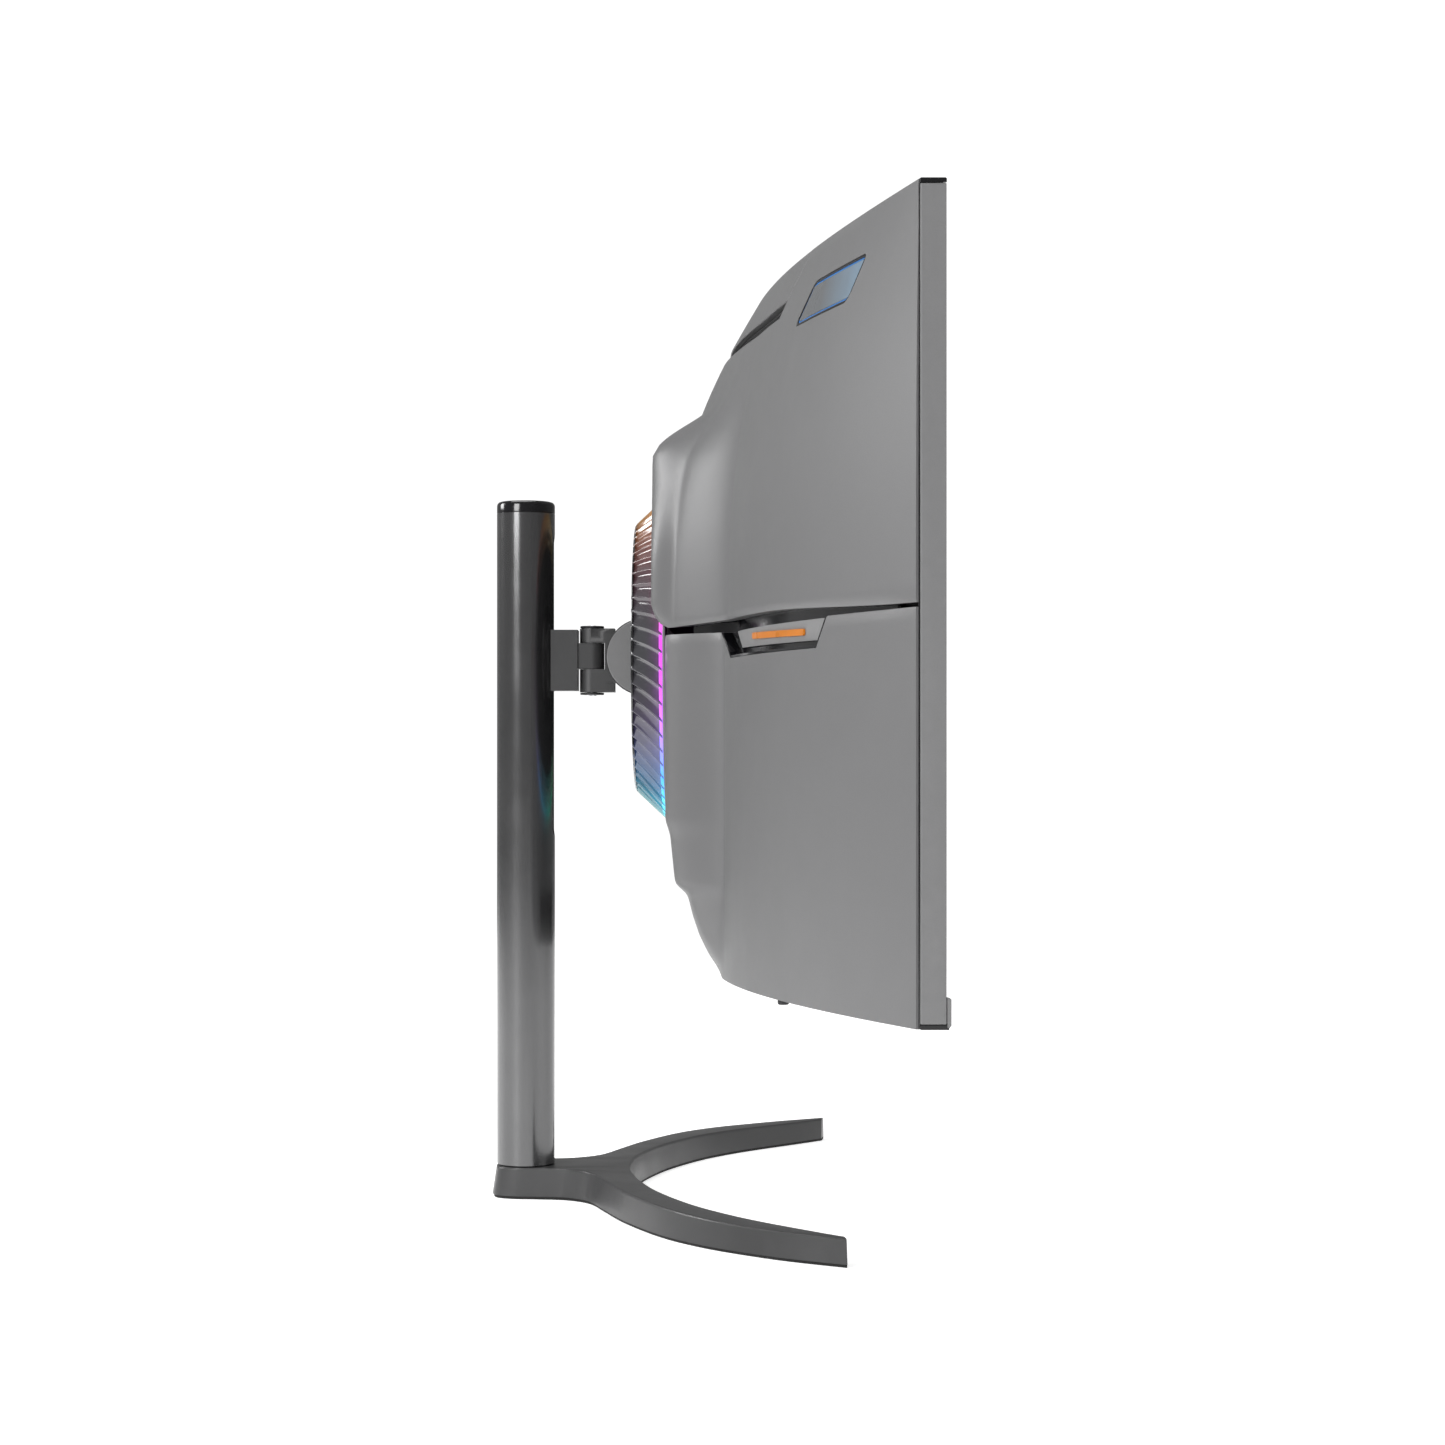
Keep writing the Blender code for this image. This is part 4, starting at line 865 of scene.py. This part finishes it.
def build_tilt_parts():
    start = atan2(-18.0, -sqrt(TILT_R**2 - 18.0**2))
    arc = [start - 2 * start * i / 48 for i in range(49)]
    outline = [(-6.5, -18.0)] + [(TILT_Y + TILT_R * cos(a), TILT_R * sin(a)) for a in arc] + [(-6.5, 18.0)]
    cheeks = []
    for side in (-1, 1):
        cheeks.append(loft([[(side * x, y, TILT_Z + z) for y, z in outline] for x in (CHEEK_IN, CHEEK_OUT)]))
    cheeks.append(block((-45, -7.5, RING_Z - 45), (45, -4.0, RING_Z + 45)))
    put("tilt_bracket_cheeks", merged(*cheeks), "matte_black", "head", ("tilt_bracket",), bevel=0.4)
    for name, side in (("left", -1), ("right", 1)):
        inner, outer = CHEEK_OUT + 0.3, CHEEK_OUT + 1.8
        dish = [(0, inner), (TILT_R - 0.7, inner), (TILT_R - 0.7, outer - 0.35), (TILT_R - 1.1, outer),
                (0, outer)]
        cap = turned(dish, (0, 0, 0), "Z", 96)
        cap.transform(Matrix.Translation((0, TILT_Y, TILT_Z)) @ Matrix.Rotation(side * pi / 2, 4, "Y"))
        put(f"hinge_disc_{name}", cap, "frame_grey", "head", (f"hinge_cap_{name}",))
    pin = [(0, -20.6), (3.6, -20.6), (4.0, -20.2), (4.0, 20.2), (3.6, 20.6), (0, 20.6)]
    put("tilt_axle", turned(pin, (0, TILT_Y, TILT_Z), "X", 48), "bright_steel", "head", ("tilt_pin",))


def build_neck():
    block_end = SWIVEL_Y + 8.0
    neck = put("neck_bracket_body", block((-8.3, block_end, 287.2), (8.3, POLE_Y - 12.0, 321.8)),
               "stand_grey", "carriage",
               ("neck_bracket",))
    carve(neck, cylinder(POLE_R + 0.3, 200, 400, (0, POLE_Y, 0), steps=96))
    carve(neck, block((-4.6, SWIVEL_Y + 20.0, 289.0), (4.6, POLE_Y - 10.8, 320.0)), "UNION")
    carve(neck, block((-KNUCKLE_R, SWIVEL_Y, 299.7), (KNUCKLE_R, SWIVEL_Y + 12.0, 314.2)), "UNION")
    carve(neck, cylinder(KNUCKLE_R, 299.7, 314.2, (0, SWIVEL_Y, 0), steps=64), "UNION")
    carve(neck, cylinder(3.3, 280, 330, (0, SWIVEL_Y, 0), steps=48))
    soften(neck, 0.4, 3, 40.0)

    body = put("swivel_yoke_body", block((-8.3, TILT_Y + 8.0, 291.7), (8.3, SWIVEL_Y - 7.6, 320.3)),
               "stand_grey", "yoke",
               ("swivel_yoke",))
    for low, high in ((286.4, 299.4), (314.5, 322.6)):
        carve(body, block((-KNUCKLE_R, SWIVEL_Y - 13.0, low), (KNUCKLE_R, SWIVEL_Y, high)), "UNION")
        carve(body, cylinder(KNUCKLE_R, low, high, (0, SWIVEL_Y, 0), steps=64), "UNION")
    carve(body, cylinder(14.3, -CHEEK_IN + 0.3, CHEEK_IN - 0.3, (0, TILT_Y, TILT_Z), "X", 64), "UNION")
    carve(body, cylinder(3.2, 270, 340, (0, SWIVEL_Y, 0), steps=48))
    carve(body, cylinder(4.3, -30, 30, (0, TILT_Y, TILT_Z), "X", 48))
    soften(body, 0.4, 3, 40.0)
    pin = [(0, 284.4), (2.4, 284.4), (2.9, 284.9), (2.9, 323.9), (2.4, 324.4), (0, 324.4)]
    put("swivel_axle", turned(pin, (0, SWIVEL_Y, 0), "Z", 48), "bright_steel", "yoke", ("swivel_pin",))
    for name, low in (("lower", 284.9), ("upper", 322.9)):
        ring = [(3.2, low), (6.5, low), (6.8, low + 0.3), (6.8, low + 0.9), (6.5, low + 1.2),
                (3.2, low + 1.2)]
        put(f"washer_{name}", turned(ring, (0, SWIVEL_Y, 0), "Z", 64), "matte_black", "yoke",
            (f"swivel_washer_{name}",))


# ---------------------------------------------------------------- column and base

def spline(points, per_span):
    """Smooth curve through points, as a Catmull-Rom chain."""
    padded = [points[0]] + list(points) + [points[-1]]
    out = []
    for i in range(1, len(padded) - 2):
        p0, p1, p2, p3 = (Vector(p) for p in padded[i - 1:i + 3])
        for k in range(per_span):
            t = k / per_span
            out.append(0.5 * (2 * p1 + (p2 - p0) * t + (2 * p0 - 5 * p1 + 4 * p2 - p3) * t**2
                              + (3 * p1 - p0 - 3 * p2 + p3) * t**3))
    out.append(Vector(points[-1]))
    return out


FOOT_OUTER = ((0, 116.75), (12, 114.5), (18, 105), (19.6, 90), (23, 73.5), (36, 60), (63, 50.5),
              (100, 37.7), (143, 17.2), (172, -3.5), (192, -23.5), (212, -48.5), (229.5, -78.0))
FOOT_INNER = ((0, 37.8), (7, 37.8), (14, 37.5), (21, 37), (28, 36.2), (40, 34), (58, 30),
              (92, 19.3), (130, 1.2), (157, -17.5), (178, -36), (198, -56), (219, -76.5))
FOOT_STEPS = 6


def foot_pairs():
    return list(zip(spline(FOOT_OUTER, FOOT_STEPS), spline(FOOT_INNER, FOOT_STEPS)))


def both_sides(half):
    return [[(-x, y, z) for x, y, z in ring] for ring in reversed(half[1:])] + half


def build_base():
    half = []
    pairs = foot_pairs()
    for i, (outer, inner) in enumerate(pairs):
        high = BASE_FOOT_H + (BASE_TIP_H - BASE_FOOT_H) * smoothstep(i, 4 * FOOT_STEPS, len(pairs) - 1)
        across = (inner - outer).normalized()
        rise = high - BASE_LOW
        ring = [(*outer, BASE_LOW)]
        round_r = 1.4
        for k in range(5):
            a = pi / 2 * k / 4
            inset = DRAFT * (rise - round_r) / rise + round_r * (1 - cos(a))
            ring.append((*(outer + across * inset), high - round_r * (1 - sin(a))))
        for k in range(5):
            a = pi / 2 * (1 - k / 4)
            ring.append((*(inner - across * round_r * (1 - cos(a))), high - round_r * (1 - sin(a))))
        ring.append((*(inner + across * DRAFT * 0.5), BASE_LOW))
        half.append(ring)
    foot = put("wishbone_foot", loft(both_sides(half)), "stand_grey", "stand", ("base_wishbone",))
    carve(foot, cylinder(9.5, -5, 8.0, (0, POLE_Y, 0), steps=64))
    carve(foot, cylinder(3.4, -5, 30, (0, POLE_Y, 0), steps=32))
    soften(foot, 0.3, 2, 45.0)
    half = []
    for outer, inner in pairs:
        across = (inner - outer).normalized()
        a, b = outer + across * 0.8, inner + across * (DRAFT - 0.8) * 0.5
        half.append([(*(a + across * 0.3), 0.0), (*a, 0.3), (*a, BASE_LOW), (*b, BASE_LOW), (*b, 0.3),
                     (*(b - across * 0.3), 0.0)])
    pad = put("rubber_foot_pad", loft(both_sides(half)), "rubber", "stand", ("base_pad",))
    carve(pad, cylinder(10.5, -5, 8.0, (0, POLE_Y, 0), steps=64))


def capsule(width, low, high, near, far):
    """Upright slot shape with round ends, from y near to y far."""
    radius = width / 2
    outline = [(radius * cos(a), high - radius + radius * sin(a)) for a in [pi * i / 16 for i in range(17)]]
    outline += [(-radius * cos(a), low + radius - radius * sin(a)) for a in [pi * i / 16 for i in range(17)]]
    return loft([[(x, y, z) for x, z in outline] for y in (near, far)])


def build_column():
    tube = [(POLE_R - 2.0, POLE_LOW), (POLE_R - 0.4, POLE_LOW), (POLE_R, POLE_LOW + 0.4), (POLE_R, POLE_HIGH),
            (POLE_R - 2.0, POLE_HIGH)]
    pole = put("column_tube", turned(tube, (0, POLE_Y, 0), "Z", 128), "column_metal", "stand", ("pole_tube",))
    carve(pole, capsule(SLOT_W, SLOT_LOW, SLOT_HIGH, POLE_Y - 25, POLE_Y - 8))
    soften(pole, 0.25, 2, 50.0)
    cap = [(0, 378.0), (14.0, 378.0), (14.0, 388.4), (POLE_R, 388.4), (POLE_R, CAP_HIGH - 2.2),
           (POLE_R - 0.35, CAP_HIGH - 1.1),
           (POLE_R - 1.1, CAP_HIGH - 0.35), (POLE_R - 2.2, CAP_HIGH), (0, CAP_HIGH)]
    put("column_cap", turned(cap, (0, POLE_Y, 0), "Z", 128), "gloss_black", "stand", ("pole_cap",))


# ---------------------------------------------------------------- joystick and sockets

def build_small_parts():
    top, low = 137.8, 129.5
    knob = [(0, top), (2.6, top), (2.8, top - 0.3)]
    for i in range(7):
        z = top - 1.2 - 0.8 * i
        knob += [(2.8, z + 0.25), (2.55, z), (2.8, z - 0.25)]
    knob += [(2.8, low + 0.6), (2.3, low), (1.6, low + 0.35), (0, low + 0.5)]
    put("joystick_knob", turned(knob, (STICK_X, STICK_Y, 0), "Z", 48), "matte_black", "joystick_cap",
        ("joystick_cap",))
    shells, tongues = [], []
    for x, half_w, half_d in ((-46, 7.3, 2.4), (-24, 7.3, 2.4), (0, 7.9, 2.3)):
        for x0, x1, y0, y1 in ((-half_w, half_w, -half_d, 0.45 - half_d), (-half_w, half_w, half_d - 0.45,
                half_d),
                               (-half_w, 0.45 - half_w, -half_d, half_d), (half_w - 0.45, half_w, -half_d,
                                       half_d)):
            shells.append(block((x + x0, -24 + y0, 164.9), (x + x1, -24 + y1, 167.4)))
        tongues.append(block((x - half_w + 1.6, -24.7, 165.4), (x + half_w - 1.6, -23.7, 167.4)))
    put("video_socket_shells", merged(*shells), "socket_metal", "head", bevel=0.1)
    put("video_socket_tongues", merged(*tongues), "matte_black", "head", bevel=0.15)
    rings = []
    for x, radius in ((22, 2.9), (44, 4.1)):
        wall = [(radius - 1.0, 165.0), (radius - 0.2, 165.0), (radius, 165.2), (radius, 167.4),
                (radius - 1.0, 167.4)]
        rings.append(turned(wall, (x, -24, 0), "Z", 48))
    put("round_socket_rings", merged(*rings), "socket_gold", "head")


for build in (build_upper_cover, build_top_panel, build_vent, build_badges, build_lower_cover, build_accents,
              build_screen,
              build_ring, build_tilt_parts, build_neck, build_base, build_column, build_small_parts):
    build()

# ---------------------------------------------------------------- CAD nodes shown as they are

for entry in frame["record"]["materials"]:
    for name in entry.get("nodes", ()):
        node = frame["nodes"][name]
        if not node.hide_render:
            node.data.materials.clear()
            node.data.materials.append(MATERIALS[entry["slot"]])
            node.data.shade_smooth()
            node.data.set_sharp_from_angle(angle=radians(32))

# ---------------------------------------------------------------- studio

FLOOR_HALF = 2.2  # metres
ROOM_LIGHT, BACKDROP_LIGHT = 0.3, 1.06


def studio_floor():
    m = Nodes("studio_floor")
    m.feed(m.shader.inputs["Base Color"], m.mix(m.noise(3.0, 4.0), (0.86, 0.86, 0.86), (0.9, 0.9, 0.9)))
    m.feed(m.shader.inputs["Roughness"], m.remap(m.noise(20.0, 3.0), 0.3, 0.7, 0.5, 0.65))
    m.feed(m.shader.inputs["Emission Color"], (1.0, 1.0, 1.0, 1.0))
    m.shader.inputs["Emission Strength"].default_value = 0.6
    mesh = bpy.data.meshes.new("studio_floor")
    mesh.from_pydata([(x * FLOOR_HALF, y * FLOOR_HALF, 0) for x, y in ((-1, -1), (1, -1), (1, 1), (-1, 1))], [], [(0, 1, 2, 3)])
    mesh.materials.append(m.material)
    floor = bpy.data.objects.new("studio_floor", mesh)
    bpy.context.scene.collection.objects.link(floor)


def area_light(name, place, target, size, watts, colour=(1, 1, 1)):
    data = bpy.data.lights.new(name, "AREA")
    data.shape = "RECTANGLE"
    data.size, data.size_y = size
    data.energy = watts
    data.color = colour
    lamp = bpy.data.objects.new(name, data)
    lamp.location = place
    lamp.visible_camera = False
    lamp.rotation_euler = (Vector(target) - Vector(place)).to_track_quat("-Z", "Y").to_euler()
    bpy.context.scene.collection.objects.link(lamp)


studio_floor()
area_light("side_key", (-1.9, 1.35, 1.0), (0, 0, 0.3), (0.8, 0.8), 28.0)
area_light("rear_light", (0.5, 1.85, 1.0), (0, 0, 0.35), (0.6, 0.6), 15.0)
area_light("front_fill", (-0.8, -2.2, 1.1), (0, 0, 0.3), (1.6, 1.2), 14.0)
area_light("top", (0.2, 0.4, 2.4), (0, 0, 0.2), (1.6, 1.6), 34.0)

# White behind the object as the camera sees it, and a dim soft room for what falls on the object
world = bpy.data.worlds.new("studio")
world.use_nodes = True
sky = world.node_tree.nodes
seen = sky.new("ShaderNodeMapRange")
seen.inputs["To Min"].default_value = ROOM_LIGHT
seen.inputs["To Max"].default_value = BACKDROP_LIGHT
world.node_tree.links.new(sky.new("ShaderNodeLightPath").outputs["Is Camera Ray"], seen.inputs["Value"])
world.node_tree.links.new(seen.outputs["Result"], sky["Background"].inputs["Strength"])
sky["Background"].inputs["Color"].default_value = (1.0, 1.0, 1.0, 1.0)
bpy.context.scene.world = world
bpy.context.scene.view_settings.view_transform = "Standard"

camera_data = bpy.data.cameras.new("camera")
camera_data.sensor_width = 36.0
camera_data.lens = 69.76
camera_data.shift_x, camera_data.shift_y = -0.0204, 0.0190
camera = bpy.data.objects.new("camera", camera_data)
camera.location = (-1.5985, -0.03125, 0.2535)
camera.rotation_euler = (radians(90), 0.0, radians(-90))
bpy.context.scene.collection.objects.link(camera)
bpy.context.scene.camera = camera
